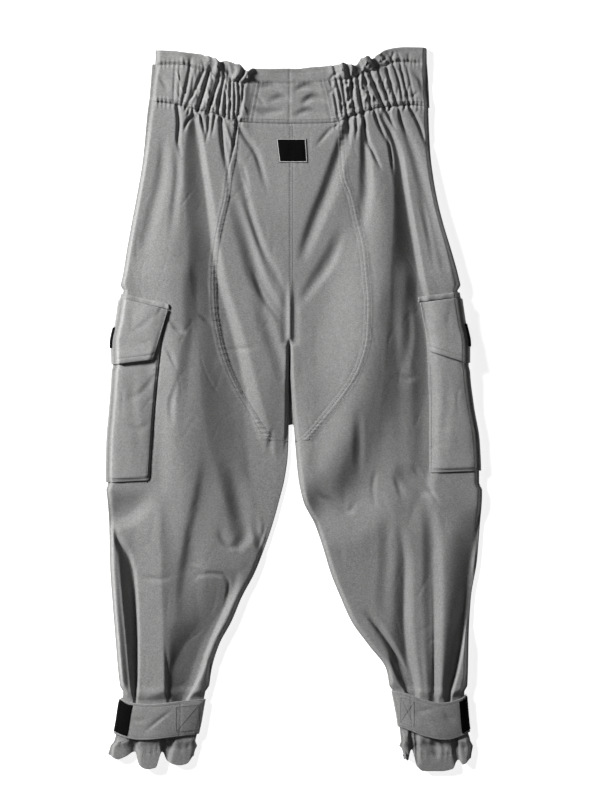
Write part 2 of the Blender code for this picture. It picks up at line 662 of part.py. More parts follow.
def front_leg(side):
    """The front panel of a leg: the lower layer, flat on the surface."""
    across, drop = front_grid(side)
    under = lift(across, drop)
    name = "front_leg_left" if side < 0 else "front_leg_right"
    return wall(name, place(across, drop, under + CLOTH), place(across, drop, under), "twill")


def gather_stops(gathers, level, low, high):
    """Columns at the valleys of the gathers and midway between them."""
    valleys = sorted(getattr(g, level) for g in gathers)
    stops = [low] + valleys + [high]
    columns = []
    for near, far in zip(stops, stops[1:]):
        columns += [near, 0.5 * (near + far)]
    return np.array(columns + [high])


def band_piece(name, line_columns, seam_columns):
    """A length of the back waistband, between the frill line and the waist seam."""
    shares = np.array([0.0, 0.33, 0.67, 1.0])[:, None]
    across = line_columns + (seam_columns - line_columns) * shares
    top = read(FRILL_LINE, across, 1) + 0.5 * GAP
    bottom = read(WAIST_SEAM, across, 1) - 0.5 * GAP
    drop = top + (bottom - top) * shares
    upper, lower = back_wall(across, drop)
    return wall(name, place(across, drop, upper), place(across, drop, lower), "twill")


def back_waistband():
    """Two gathered lengths with elastic and the plain block between them."""
    edge = 0.5 * GAP
    left_top = gather_stops(GATHERS_LEFT[:-1], "at_line", -183.0, BLOCK_LEFT.left - edge)
    left_seam = gather_stops(GATHERS_LEFT[:-1], "at_seam", -187.0, BLOCK_LEFT.right - edge)
    right_top = gather_stops(GATHERS_RIGHT[1:], "at_line", BLOCK_RIGHT.left + edge, 183.0)
    right_seam = gather_stops(GATHERS_RIGHT[1:], "at_seam", BLOCK_RIGHT.right + edge, 185.0)
    band_piece("waistband_elastic_left", left_top, left_seam)
    band_piece("waistband_elastic_right", right_top, right_seam)
    block_top = np.linspace(BLOCK_LEFT.left + edge, BLOCK_RIGHT.left - edge, 9)
    block_seam = np.linspace(BLOCK_LEFT.right + edge, BLOCK_RIGHT.right - edge, 9)
    band_piece("waistband_block", block_top, block_seam)


def frill_wave(across, drop):
    """Extra flare of the frill's free edge between its gathers."""
    line = read(FRILL_LINE, across, 1)
    free = ease((line - drop) / 22.0)
    gathered = ease((np.abs(across) - 52.0) / 14.0) * ease((170.0 - np.abs(across)) / 14.0)
    return gathered * free * (2.2 + 1.6 * np.sin(across / 4.6) + 1.2 * np.sin(across / 9.5 + 1.0))


def back_frill():
    """The ruffled heading above the back waistband."""
    left = gather_stops(GATHERS_LEFT, "at_line", -180.0, -46.0)
    right = gather_stops(GATHERS_RIGHT, "at_line", 50.0, 183.0)
    columns = np.concatenate([left, np.linspace(-30, 34, 5), right])
    shares = np.array([0.0, 0.5, 1.0])[:, None]
    top = read(FRILL_TOP, columns, 1)
    bottom = read(FRILL_LINE, columns, 1) - 0.5 * GAP
    drop = top + (bottom - top) * shares
    across = np.broadcast_to(columns, drop.shape)
    upper, lower = back_wall(across, drop)
    flare = frill_wave(across, drop)
    return wall("frill_back", place(across, drop, upper + flare), place(across, drop, lower + flare), "twill")


def front_waist():
    """The front waistband and its frill, flat under the back ones."""
    left_across, left_drop = front_grid(-1)
    right_across, right_drop = front_grid(1)
    seam_across = np.concatenate([left_across[0], right_across[0][::-1]])
    seam_drop = np.concatenate([left_drop[0], right_drop[0][::-1]])
    columns = np.unique(np.clip(np.concatenate([seam_across, FRONT_WAIST_COLUMNS]), -179.0, 181.0))
    line = read(FRILL_LINE, columns, 1)
    seam = np.interp(columns, seam_across, seam_drop) - GAP
    top = read(FRILL_TOP, columns, 1) + TUCK
    for name, low, high in (("frill_front", top, line - 0.5 * GAP),
                            ("waistband_front", line + 0.5 * GAP, seam - 0.5 * GAP)):
        shares = np.array([0.0, 1.0])[:, None]
        drop = low + (high - low) * shares
        across = np.broadcast_to(columns, drop.shape)
        wall(name, place(across, drop, CLOTH), place(across, drop, 0.0), "twill")


def wrap_path(side, across, upper, edge, bottom, reach, end_angle=180.0):
    """Section of a piece that lies on the leg and turns round its side.

    It runs along the upper points to the edge, round a half circle, and back
    under the leg when the turn is a full one. Returns across and height.
    """
    steps = int(round(ARC_STEPS * end_angle / 180.0))
    angles = np.radians(np.linspace(0, end_angle, steps + 1))
    path_across = [across[:-1], edge + side * reach * np.sin(angles)]
    path_height = [upper[:-1], bottom + reach + reach * np.cos(angles)]
    if end_angle >= 180.0:
        under = edge + (across[0] - edge) * np.array([0.35, 1.0])
        path_across.append(under)
        path_height.append(np.full(2, bottom))
    return np.concatenate(path_across), np.concatenate(path_height)


def offset_path(side, across, height, distance):
    """The same section moved outwards by a distance."""
    run = np.gradient(across)
    climb = np.gradient(height)
    length = np.hypot(run, climb)
    return across - side * distance * climb / length, height + side * distance * run / length


def wrapped_piece(name, side, rows, finish, thickness, end_angle=180.0, above=0.0):
    """A solid wrapped round a leg's side, from rows of (across, drop, upper, edge, bottom, reach).

    A piece that lies on another one takes its rows and stands above them.
    """
    outer, inner = [], []
    for across, drop, upper, edge, bottom, reach in rows:
        path = wrap_path(side, across, upper, edge, bottom, reach, end_angle)
        under = offset_path(side, path[0], path[1], above)
        over = offset_path(side, path[0], path[1], above + thickness)
        down = np.interp(np.arange(len(path[0])), np.arange(len(drop)), drop)
        if end_angle >= 180.0:
            down[-2:] = drop[-1] + (drop[0] - drop[-1]) * np.array([0.35, 1.0])
        inner.append(place(under[0], down, under[1]))
        outer.append(place(over[0], down, np.maximum(over[1], 0.0)))
    return wall(name, np.array(outer), np.array(inner), finish)


def between_rows(rows, stations, share):
    """The row at a share of the way down, straight between the rows at the given stations."""
    k = int(np.clip(np.searchsorted(stations, share, side="right") - 1, 0, len(rows) - 2))
    part = (share - stations[k]) / (stations[k + 1] - stations[k])
    return [np.asarray(a) + (np.asarray(b) - np.asarray(a)) * part for a, b in zip(rows[k], rows[k + 1])]


def near_side(row, side, width):
    """The end of a row that lies within a width of the side, with the row's own points kept."""
    across, drop, upper, edge, bottom, reach = row
    distance = (edge - across) * side
    kept = np.concatenate([[width], distance[distance < width - 0.5]])
    columns = [np.interp(-kept, -distance, values) for values in (across, drop, upper)]
    return columns + [edge, bottom, reach]


def away_from_side(pocket, close, apart):
    """A map that follows one map at the side of the leg and another away from it."""
    distance = (leg_side(pocket.side, MAP_DROP) - MAP_ACROSS) * pocket.side
    weight = ease((distance - 8.0) / 18.0)
    return close + (apart - close) * weight


def bag_map(pocket):
    """Map of the inside of a pocket bag over the leg."""
    inner = read(pocket.bag_edge, MAP_DROP, 1)
    edge = leg_side(pocket.side, MAP_DROP)
    share = np.clip((MAP_ACROSS - inner) / (edge - inner), 0.0, 1.0)
    full = BAG_FULLNESS * np.sin(np.pi * share) + 0.8 * (1 - share)
    return away_from_side(pocket, BACK_UPPER, BACK_SPREAD) + WRAP_CLEARANCE + full


def flap_map(pocket):
    """Map of the inside of a pocket flap over the bag."""
    bag = bag_map(pocket)
    over = bag + sloped(bag)
    return away_from_side(pocket, over, spread(over, 7.5, 10.0)) + SECOND_WRAP_GAP


def pocket_bag(pocket):
    """The patch pocket, folded round the side of the leg."""
    heights = bag_map(pocket)
    rows = []
    columns = np.linspace(0, 1, 6)
    slant = pocket.flap_top[0] - pocket.flap_top[1]
    for down in BAG_ROWS:
        outer_drop = min(down, pocket.bag_bottom[1])
        near_top = np.clip(1 - (outer_drop - BAG_ROWS[0]) / 60.0, 0, 1)
        inner_drop = min(down, pocket.bag_bottom[0]) + slant * near_top
        drop = inner_drop + (outer_drop - inner_drop) * columns
        inner = read(pocket.bag_edge, inner_drop, 1)
        edge = leg_side(pocket.side, outer_drop)
        across = inner + (edge - inner) * columns
        bottom = CLOTH + SECOND_LIFT * wrap_weights(outer_drop)[1]
        rows.append((across, drop, sample(heights, across, drop), edge, bottom, WRAP_INNER))
    return wrapped_piece("cargo_pocket_" + pocket.name, pocket.side, rows, "twill", CLOTH)


def flap_shares(pocket):
    """Shares down a flap of its rows, at the drops of the bag's rows beneath it."""
    top, bottom = pocket.flap_top[1], pocket.flap_bottom[1]
    return [(down - top) / (bottom - top) for down in [top] + BAG_ROWS[:3] + [bottom]]


def flap_rows(pocket):
    """Rows of a pocket flap, from its fold to its free edge."""
    heights = flap_map(pocket)
    rows = []
    for share in flap_shares(pocket):
        inner_drop = pocket.flap_top[0] + (pocket.flap_bottom[0] - pocket.flap_top[0]) * share
        outer_drop = pocket.flap_top[1] + (pocket.flap_bottom[1] - pocket.flap_top[1]) * share
        columns = np.linspace(0, 1, 6)
        drop = inner_drop + (outer_drop - inner_drop) * columns
        inner = pocket.flap_edge[0] + (pocket.flap_edge[1] - pocket.flap_edge[0]) * share
        edge = leg_side(pocket.side, outer_drop)
        across = inner + (edge - inner) * columns
        upper = sample(heights, across, drop) + FLAP_FULLNESS * np.sin(np.pi * columns)
        upper[-1] = CLOTH + 2 * SECOND_WRAP_INNER
        rows.append((across, drop, upper, edge, CLOTH, SECOND_WRAP_INNER))
    return rows


def pocket_flap(pocket):
    """The flap over the pocket, folded round the side of the leg."""
    return wrapped_piece("pocket_flap_" + pocket.name, pocket.side, flap_rows(pocket), "twill", CLOTH)


def flap_band(pocket):
    """The stitched strip along the top of the flap."""
    rows = []
    inner_across, inner_drop, outer_drop = pocket.band
    for share in (0.0, 1.0):
        columns = np.linspace(0, 1, 6)
        below = BAND_HEIGHT * share
        drop = inner_drop + below + (outer_drop - inner_drop) * columns
        edge = leg_side(pocket.side, outer_drop + below)
        across = inner_across + (edge - inner_across) * columns
        upper = sample(away_from_side(pocket, BACK_UPPER, BACK_SPREAD), across, drop) + WRAP_CLEARANCE
        bottom = WRAP_OUTER + SECOND_LIFT - WRAP_INNER
        rows.append((across, drop, upper, edge, bottom, WRAP_INNER))
    return wrapped_piece("flap_band_" + pocket.name, pocket.side, rows, "twill", CLOTH)


def flap_tab(pocket):
    """The dark fastening tab on the flap, at the side of the leg."""
    flap = flap_rows(pocket)
    stations = flap_shares(pocket)
    top, bottom = pocket.flap_top[1], pocket.flap_bottom[1]
    shares = [(pocket.tab[0] - top) / (bottom - top), stations[3], (pocket.tab[1] - top) / (bottom - top)]
    rows = [near_side(between_rows(flap, stations, s), pocket.side, TAB_WIDTH) for s in shares]
    return wrapped_piece("flap_tab_" + pocket.name, pocket.side, rows, "label", TRIM, 120.0,
                         CLOTH + TRIM_GAP)


def strap_rows(strap):
    """Rows of the upper side of an ankle strap, from its inner turn to its outer one."""
    side = strap.side
    rows = []
    for share in STRAP_SHARES:
        edge = leg_side(side, strap_drop(strap, leg_side(side, 900.0), share))
        inseam = leg_inseam(side, strap_drop(strap, leg_inseam(side, 900.0), share))
        across = inseam + (edge - inseam) * np.linspace(0, 1, STRAP_COLUMNS)
        drop = strap_drop(strap, across, share)
        height = strap_inner_height(side, across, drop)
        height[[0, -1]] = CLOTH + 2 * WRAP_INNER
        rows.append((across, drop, height, edge, CLOTH, WRAP_INNER))
    return rows


def ankle_strap(strap):
    """The strap round the cuff: a closed band about both layers of the leg."""
    outer_rows, inner_rows = [], []
    side = strap.side
    angles = np.radians(np.linspace(0, 180, ARC_STEPS + 1))[1:-1]
    for (over, over_drop, over_height, edge, bottom, reach), share in zip(strap_rows(strap), STRAP_SHARES):
        inseam = over[0]
        round_out = edge + side * reach * np.sin(angles)
        under = edge + (inseam - edge) * np.linspace(0, 1, 4)
        round_in = inseam - side * reach * np.sin(angles)
        across = np.concatenate([over, round_out, under, round_in])
        height = np.concatenate([
            over_height, bottom + reach + reach * np.cos(angles), np.full(4, bottom),
            bottom + reach - reach * np.cos(angles)])
        drop = strap_drop(strap, across, share)
        run = np.roll(across, -1) - np.roll(across, 1)
        climb = np.roll(height, -1) - np.roll(height, 1)
        length = np.hypot(run, climb)
        out_across = across - side * CLOTH * climb / length
        out_height = np.maximum(height + side * CLOTH * run / length, 0.0)
        inner_rows.append(place(across, drop, height))
        outer_rows.append(place(out_across, drop, out_height))
    return wall("ankle_strap_" + strap.name, np.array(outer_rows), np.array(inner_rows), "twill", closed=True)


def strap_patch(strap):
    """The dark patch on the strap's outer end, turned round the side of the cuff."""
    band = strap_rows(strap)
    rows = [near_side(between_rows(band, STRAP_SHARES, s), strap.side, strap.patch_width)
            for s in (0.06, 0.5, 0.94)]
    return wrapped_piece("strap_patch_" + strap.name, strap.side, rows, "label", TRIM, 120.0,
                         CLOTH + TRIM_GAP)


def seat_label():
    """The dark label sewn on across the centre back seam."""
    shares = np.linspace(0, 1, 4)
    down = np.linspace(0, 1, 3)[:, None]
    left = LABEL_LEFT[0] + (LABEL_LEFT[1] - LABEL_LEFT[0]) * down
    right = LABEL_RIGHT[0] + (LABEL_RIGHT[1] - LABEL_RIGHT[0]) * down
    across = left + (right - left) * shares
    drop = LABEL_DROP[0] + (LABEL_DROP[1] - LABEL_DROP[0]) * down + 0 * across
    under = sample(spread(BACK_UPPER, 5.0, 12.5), across, drop) + GAP
    return wall("seat_label", place(across, drop, under + TRIM), place(across, drop, under), "label")


def centre_on_origin():
    """Moves every piece so that the garment's box stands centred on the origin."""
    pieces = [o for o in bpy.data.objects if o.type == "MESH"]
    points = np.concatenate([[v.co[:] for v in o.data.vertices] for o in pieces])
    middle = 0.5 * (points.min(axis=0) + points.max(axis=0))
    for piece in pieces:
        piece.location = (-middle[0], -middle[1], -points[:, 2].min())


def main():
    """Clears the scene and builds each cut piece."""
    for old in list(bpy.data.objects):
        bpy.data.objects.remove(old)
    for side, gathers in ((-1, GATHERS_LEFT), (1, GATHERS_RIGHT)):
        back_leg(side, gathers)
        seat_panel(side)
        front_leg(side)
    back_waistband()
    back_frill()
    front_waist()
    for pocket in POCKETS:
        pocket_bag(pocket)
        pocket_flap(pocket)
        flap_band(pocket)
        flap_tab(pocket)
    for strap in STRAPS:
        ankle_strap(strap)
        strap_patch(strap)
    seat_label()
    centre_on_origin()


main()
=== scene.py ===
"""Cargo trousers with a paper-bag waist, laid flat with the back side up.

Sizes are in millimetres in the garment's own layout, as in the part's source:
"across" runs to the right from the centre back seam, "drop" runs down from the
top of the waist frill and "height" runs up from the surface that the garment
lies on. The cloth's relief is worked out once on an even grid, from folds,
gathers, seams and rumples, and each cut piece is a thin shell that follows it.
"""

import logging
from dataclasses import dataclass, field
from enum import Enum
from typing import Callable, NamedTuple, Optional, Sequence

import bpy
import numpy as np
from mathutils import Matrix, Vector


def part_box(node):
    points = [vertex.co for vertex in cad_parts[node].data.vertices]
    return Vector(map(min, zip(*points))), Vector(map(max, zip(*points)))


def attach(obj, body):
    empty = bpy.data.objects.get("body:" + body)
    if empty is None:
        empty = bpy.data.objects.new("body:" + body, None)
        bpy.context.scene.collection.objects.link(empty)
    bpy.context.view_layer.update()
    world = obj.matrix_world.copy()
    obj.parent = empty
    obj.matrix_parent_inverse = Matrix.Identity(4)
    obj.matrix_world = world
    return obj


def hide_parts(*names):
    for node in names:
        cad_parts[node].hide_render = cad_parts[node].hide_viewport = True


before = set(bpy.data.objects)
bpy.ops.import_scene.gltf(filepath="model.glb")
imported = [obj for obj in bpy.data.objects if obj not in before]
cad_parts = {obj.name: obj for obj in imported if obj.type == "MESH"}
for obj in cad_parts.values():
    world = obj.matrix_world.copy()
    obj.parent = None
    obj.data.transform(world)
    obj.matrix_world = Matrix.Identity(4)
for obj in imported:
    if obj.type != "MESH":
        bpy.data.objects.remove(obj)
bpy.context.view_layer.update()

Array = np.ndarray
Table = Sequence[Sequence[float]]
log = logging.getLogger("trousers")

METRE = 0.001
STEP = 1.0
# The even grid that every map of heights is on, and the edges of a shell.
ACROSS = np.arange(-280.0, 280.1, STEP)[None, :]
DROP = np.arange(-15.0, 990.1, STEP)[:, None]
GRID = (DROP.shape[0], ACROSS.shape[1])
EDGES = ("bottom", "top", "first", "last")


class Side(Enum):
    """Half of the garment, seen from above with the waist at the top."""

    LEFT = -1
    RIGHT = 1

    @property
    def label(self) -> str:
        """Name of the side, as pieces' names end in it."""
        return self.name.lower()

    @property
    def column(self) -> int:
        """Column of a table of left and right values."""
        return 1 if self is Side.LEFT else 2


class Profile(Enum):
    """Shape of a fold across its line."""

    SHARP = "sharp"
    SLOPE = "slope"
    SOFT = "soft"
    ROUND = "round"

    def shape(self, share: Array) -> Array:
        """Give a fold's rise, from 0 at its foot (a share of 0) to 1 on its line."""
        if self is Profile.SOFT:
            return ease(share)
        if self is Profile.ROUND:
            return np.sqrt(np.clip(1 - (1 - share) ** 2, 0.0, 1.0)) * ease(1.6 * share)
        return share ** (1.6 if self is Profile.SHARP else 1.15)


class Crease(NamedTuple):
    """A fold along a line of (across, drop, rise, width on its left, width on its right)."""

    profile: Profile
    points: Table


def sharp(*points: Sequence[float]) -> Crease:
    """Give a crease with a sharp line."""
    return Crease(Profile.SHARP, points)


def slope(*points: Sequence[float]) -> Crease:
    """Give a crease with almost straight sides."""
    return Crease(Profile.SLOPE, points)


def slash(across: float, drop: float, turn: float, length: float, rise: float, bend: float,
          widths: tuple[float, float]) -> Crease:
    """Give a short sharp crease about a point, turned from straight down and bent sideways."""
    x, y = np.sin(turn) * length, np.cos(turn) * length
    return sharp((across - x, drop - y, 0, *widths), (across + bend, drop, rise, *widths),
                 (across + x, drop + y, 0, *widths))


def soft(*points: Sequence[float]) -> Crease:
    """Give a crease with a soft line."""
    return Crease(Profile.SOFT, points)


def rounded(*points: Sequence[float]) -> Crease:
    """Give a crease with a round back."""
    return Crease(Profile.ROUND, points)


class Pocket(NamedTuple):
    """Lines of one cargo pocket, its flap, the band above it and the tab on it."""

    side: Side
    bag_edge: Table
    bag_bottom: tuple[float, float]
    flap_edge: tuple[float, float]
    flap_top: tuple[float, float]
    flap_bottom: tuple[float, float]
    band: tuple[float, float, float]
    tab: tuple[float, float]


class Strap(NamedTuple):
    """Edges of one ankle strap, the width of its end patch and how far in its box of stitches ends."""

    side: Side
    top: Table
    bottom: Table
    patch_width: float
    box_end: float


# Outermost outline: side of the leg, or of the pocket or strap that wraps it.
OUTLINE = (
    (-2, -180, 184), (26, -181, 183), (47, -184, 183), (74, -187, 185), (107, -192, 186), (139, -196, 188),
    (171, -201, 192), (204, -207, 198), (236, -213, 206), (269, -219, 216), (301, -224, 225), (333, -231, 232),
    (366, -236, 237), (398, -242, 243), (431, -241, 243), (479, -244, 248), (528, -248, 256), (576, -249, 258),
    (600, -246, 258), (641, -243, 255), (690, -242, 251), (738, -239, 243), (787, -235, 240), (836, -231, 239),
    (868, -228, 238), (884, -231, 239), (917, -236, 242), (933, -240, 246), (957, -244, 243))
INSEAM = (
    (396, -1, -0.6), (452, -3, 2), (506, -3, 6), (544, -4, 9), (576, -8, 12), (609, -16, 19), (641, -25, 35),
    (673, -36, 46), (706, -49, 56), (738, -66, 69), (771, -80, 84), (803, -97, 107), (836, -107, 131),
    (864, -111, 136), (884, -115, 140), (907, -119, 144), (933, -125, 147), (957, -131, 155))
SEAT_SEAM = (
    (90, -69, 65), (134, -71, 66), (171, -78, 69), (201, -82, 79), (232, -89, 86), (267, -96, 94), (305, -99, 98),
    (345, -98, 101), (390, -91, 99), (421, -82, 91), (443, -73, 81), (471, -58, 61), (496, -43, 41),
    (515, -30, 25), (522, -22, 18), (529, -3, 8.5))
FRILL_TOP = (
    (-184, 1), (-151, 4), (-117, 9), (-89, 18), (-70, 21), (-57, 30), (-49, 27), (0, 27), (50, 23), (77, 21),
    (89, 23), (96, 14), (106, 11), (111, 15), (118, 8), (134, 1), (159, -2), (186, -1))
FRILL_LINE = (
    (-186, 20), (-154, 20), (-117, 28), (-89, 39), (-63, 45), (0, 45), (55, 42), (81, 39), (94, 34), (120, 24),
    (146, 17), (186, 19))
WAIST_SEAM = (
    (-192, 69), (-154, 74), (-128, 81), (-99, 87), (-68, 98), (0, 100), (55, 99), (94, 86), (120, 79), (146, 76),
    (162, 75), (190, 78))
HEM_LEFT = (
    (-246, 949), (-232, 956), (-221, 952), (-209, 946), (-203, 964), (-192, 969), (-181, 967), (-172, 946),
    (-165, 959), (-148, 964), (-139, 962), (-128, 948))
HEM_RIGHT = (
    (150, 944), (158, 958), (164, 943), (171, 965), (180, 972), (204, 972), (219, 969), (227, 957), (233, 963),
    (248, 950))
BLOCK_LEFT = (-48.0, -59.0)
BLOCK_RIGHT = (51.0, 63.0)

BAND_FULLNESS = (
    (-188, 3), (-168, 4), (-140, 7.5), (-66, 8.5), (-52, 4.5), (0, 3.5), (52, 4.5), (68, 8.5), (140, 8),
    (168, 6.5), (190, 6))
LEG_FULLNESS = ((60, 4), (140, 9), (260, 12), (420, 12), (600, 11), (760, 12), (850, 11), (900, 7), (957, 6))

# Main folds: (across, drop, rise, width on its left, width on its right).
FOLDS = (
    # Left leg: the long valley beside the seat seam and what runs into it.
    slope((-129, 90, -6, 8, 5), (-122, 133, -8, 20, 6), (-118, 162, -8, 25, 7), (-114, 189, -8, 28, 8),
          (-108, 240, -7, 30, 10), (-101, 290, -9, 36, 10), (-92, 330, -9, 40, 10), (-82, 365, -9.5, 47, 12),
          (-69, 417, -10, 53, 15), (-59, 474, -10.5, 60, 20), (-52, 515, -10.5, 60, 24), (-45, 565, -9, 56, 26),
          (-44, 625, -4, 38, 24), (-48, 655, 0, 20, 16)),
    soft((-150, 110, 0, 16, 14), (-150, 162, 2.5, 26, 26), (-153, 240, 5, 44, 40), (-157, 300, 7, 54, 56),
         (-157, 365, 9, 50, 64), (-153, 417, 9.5, 44, 72), (-150, 474, 10, 40, 78), (-147, 515, 9.5, 38, 78),
         (-143, 565, 8, 36, 74), (-140, 640, 5, 30, 56), (-138, 700, 0, 24, 36)),
    soft((-170, 110, 0, 9, 9), (-172, 160, -2.0, 10, 10), (-186, 225, -2.2, 12, 14), (-203, 290, 0, 12, 14)),
    soft((-155, 120, 0, 6, 6), (-151, 165, -2.4, 8, 8), (-156, 215, -2, 8, 9), (-160, 260, 0, 8, 9)),
    sharp((-74, 92, -2, 4, 4), (-63, 115, -4.5, 4, 6), (-45, 144, -4.5, 4, 7), (-34, 180, -1.6, 5, 5),
          (-28, 198, 0, 4, 4)),
    sharp((-70, 148, -2, 12, 5), (-59, 196, -3.5, 14, 5), (-41, 256, -4.5, 15, 5), (-17, 306, -2.5, 11, 5),
          (-8, 328, 0, 8, 5)),
    soft((-79, 190, 0, 12, 9), (-58, 253, -5, 18, 8), (-38, 314, -6.5, 19, 9), (-10, 359, -1, 12, 7),
         (-4, 372, 0, 8, 6)),
    soft((-44, 325, 0, 14, 10), (-30, 372, -3, 16, 12), (-14, 420, -2.5, 14, 10), (-8, 455, 0, 10, 8)),
    soft((-84, 565, -1, 16, 14), (-73, 592, -4, 20, 22), (-66, 627, -6, 22, 22), (-61, 655, -5, 20, 16),
         (-68, 672, -1.5, 11, 8), (-68, 682, 0, 9, 7)),
    soft((-112, 545, 0, 12, 26), (-119, 600, -2.6, 13, 30), (-132, 660, -2.8, 13, 30), (-142, 730, -2.2, 13, 28),
         (-146, 770, 0, 10, 20)),
    slope((-70, 700, 0, 40, 8), (-75, 722, -4, 44, 8), (-90, 755, -7, 56, 8), (-109, 798, -8, 54, 4),
          (-125, 838, -8, 39, 4), (-140, 874, -7, 26, 4), (-157, 920, -7, 12, 5), (-168, 966, -5, 8, 6)),
    soft((-62, 716, 0, 8, 12), (-82, 756, 1.5, 8, 14), (-101, 798, 2, 8, 12), (-116, 838, 2.5, 7, 10),
         (-128, 872, 2, 6, 8), (-140, 905, 0, 5, 6)),
    slope((-174, 585, 0, 26, 22), (-174, 640, 5, 34, 36), (-173, 700, 6.5, 36, 44), (-171, 770, 7, 38, 50),
          (-169.5, 800, 6.5, 36, 30), (-168.5, 828, 6, 34, 12), (-168, 855, 6, 32, 5), (-168, 885, 5, 30, 4),
          (-168, 910, 0, 20, 4)),
    slope((-238, 636, 0, 4, 3), (-231, 662, -7, 6, 3), (-217, 684, -11, 13, 3), (-211, 712, -14, 15, 3),
          (-208.5, 750, -14, 14, 3), (-207, 800, -14, 12, 3), (-207, 840, -12, 9, 3), (-208, 874, -9, 5, 3),
          (-208, 930, -5, 5, 6), (-207, 966, -4, 5, 5)),
    soft((-243, 640, 0, 5, 8), (-239, 690, 5, 5, 18), (-236, 750, 8, 5, 24), (-233, 810, 8.5, 5, 24),
         (-230, 850, 7.5, 5, 20), (-229, 880, 4, 5, 15)),
    soft((-246, 632, -5, 20, 40), (-222, 626, -7, 22, 40), (-198, 610, -3, 18, 24), (-186, 598, 0, 12, 12)),
    sharp((-170, 790, 0, 2, 4), (-166, 824, -2, 2, 5), (-165, 878, -2.5, 2, 5), (-168, 905, -3, 3, 6)),
    # Between the legs, and down the right leg's side.
    soft((4, 420, 0, 40, 30), (-1, 500, -4, 60, 30), (-6, 560, -6.5, 66, 30), (-14, 612, -5, 60, 30),
         (-36, 680, 0, 40, 30)),
    soft((184, 110, 0, 20, 6), (198, 200, 3, 30, 8), (210, 270, 4, 36, 8), (219, 318, 3, 36, 8),
         (224, 345, 0, 30, 8)),
    # Right leg: the long valley, and the slope that runs on to the pocket.
    slope((124, 90, -4, 5, 4), (136, 113, -7, 6, 4), (147, 144, -8, 12, 5), (154, 189, -8.5, 15, 5),
          (162, 238, -9, 24, 6), (169, 277, -9, 34, 6), (177, 325, -9, 44, 7), (183, 352, -8, 52, 8),
          (187, 400, -7, 60, 8), (190, 450, -7, 66, 8), (191, 505, -7, 72, 8), (189, 555, -6, 74, 10),
          (176, 600, -4, 74, 16), (158, 645, 0, 56, 24)),
    soft((112, 130, 0, 12, 16), (118, 189, 4, 24, 32), (122, 240, 7, 44, 40), (122, 300, 10, 70, 54),
         (118, 352, 12, 80, 68), (112, 400, 12.5, 80, 78), (103, 450, 12, 72, 88), (90, 505, 10, 58, 98),
         (76, 555, 8, 46, 100), (66, 600, 5, 34, 88), (60, 660, 0, 24, 60)),
    soft((130, 310, 0, 14, 20), (134, 352, -1.2, 22, 30), (134, 400, -1.8, 28, 34), (132, 450, -2.5, 40, 36),
         (122, 512, -5.5, 56, 42), (106, 560, -10, 58, 58), (82, 598, -12, 56, 62), (50, 622, -9, 48, 56),
         (20, 636, -4, 30, 34), (4, 642, 0, 12, 14)),
    soft((82, 94, -2, 8, 8), (71, 125, -4.2, 10, 12), (62, 155, -5, 12, 14), (51, 189, -5, 13, 15),
         (37, 224, -4.5, 13, 14), (24, 258, -3.5, 11, 12), (14, 290, 0, 9, 9)),
    soft((74, 236, 0, 12, 9), (53, 286, -4, 16, 10), (24, 328, -2, 12, 8), (12, 346, 0, 8, 6)),
    soft((99, 96, -2, 6, 6), (101, 135, -4.2, 8, 8), (104, 180, -4.6, 13, 9), (100, 222, -2.4, 12, 10),
         (94, 248, 0, 8, 8)),
    soft((150, 92, -2, 7, 8), (166, 139, -2.6, 9, 9), (181, 192, -2.8, 11, 10), (200, 268, -2.0, 11, 10),
         (217, 320, 0, 8, 8)),
    soft((146, 560, 0, 10, 16), (158, 580, -3, 14, 24), (178, 592, -2.4, 14, 16), (192, 600, 0, 8, 8)),
    soft((128, 610, 0, 12, 12), (131, 680, -2.2, 15, 13), (128, 740, -2, 15, 14), (132, 785, 0, 12, 12)),
    sharp((148, 640, 0, 14, 10), (155, 700, -6, 22, 12), (154, 760, -8.5, 26, 13), (158, 817, -10, 26, 13),
          (167, 866, -11, 20, 9), (170, 930, -6, 8, 5), (171, 960, -3, 8, 6)),
    soft((182, 590, 0, 12, 10), (191, 656, -4, 16, 13), (193, 713, -5, 17, 14), (194, 800, -5.5, 15, 13),
         (195, 872, -6, 11, 10), (196, 950, -2, 8, 8)),
    sharp((256, 615, 0, 24, 4), (252, 650, -7, 36, 3.5), (246, 694, -10.5, 42, 3.2), (242, 735, -12, 38, 3),
          (233, 788, -12, 32, 3), (224, 836, -12, 26, 3), (215, 876, -10.5, 16, 3), (222, 930, -6, 8, 5),
          (227, 962, -4, 8, 6)),
    soft((214, 640, 0, 14, 20), (213, 700, 3.5, 30, 36), (211, 760, 6, 34, 30), (209, 800, 6.5, 34, 26),
         (205, 850, 5.5, 28, 20), (204, 885, 3, 20, 14), (206, 910, 0, 10, 12)),
    sharp((98, 752, 0, 6, 12), (118, 780, -4, 7, 9), (138, 812, -6, 8, 9), (152, 842, -7, 8, 8), (161, 870, -7, 7, 7),
          (164, 900, -4, 6, 6)),
)

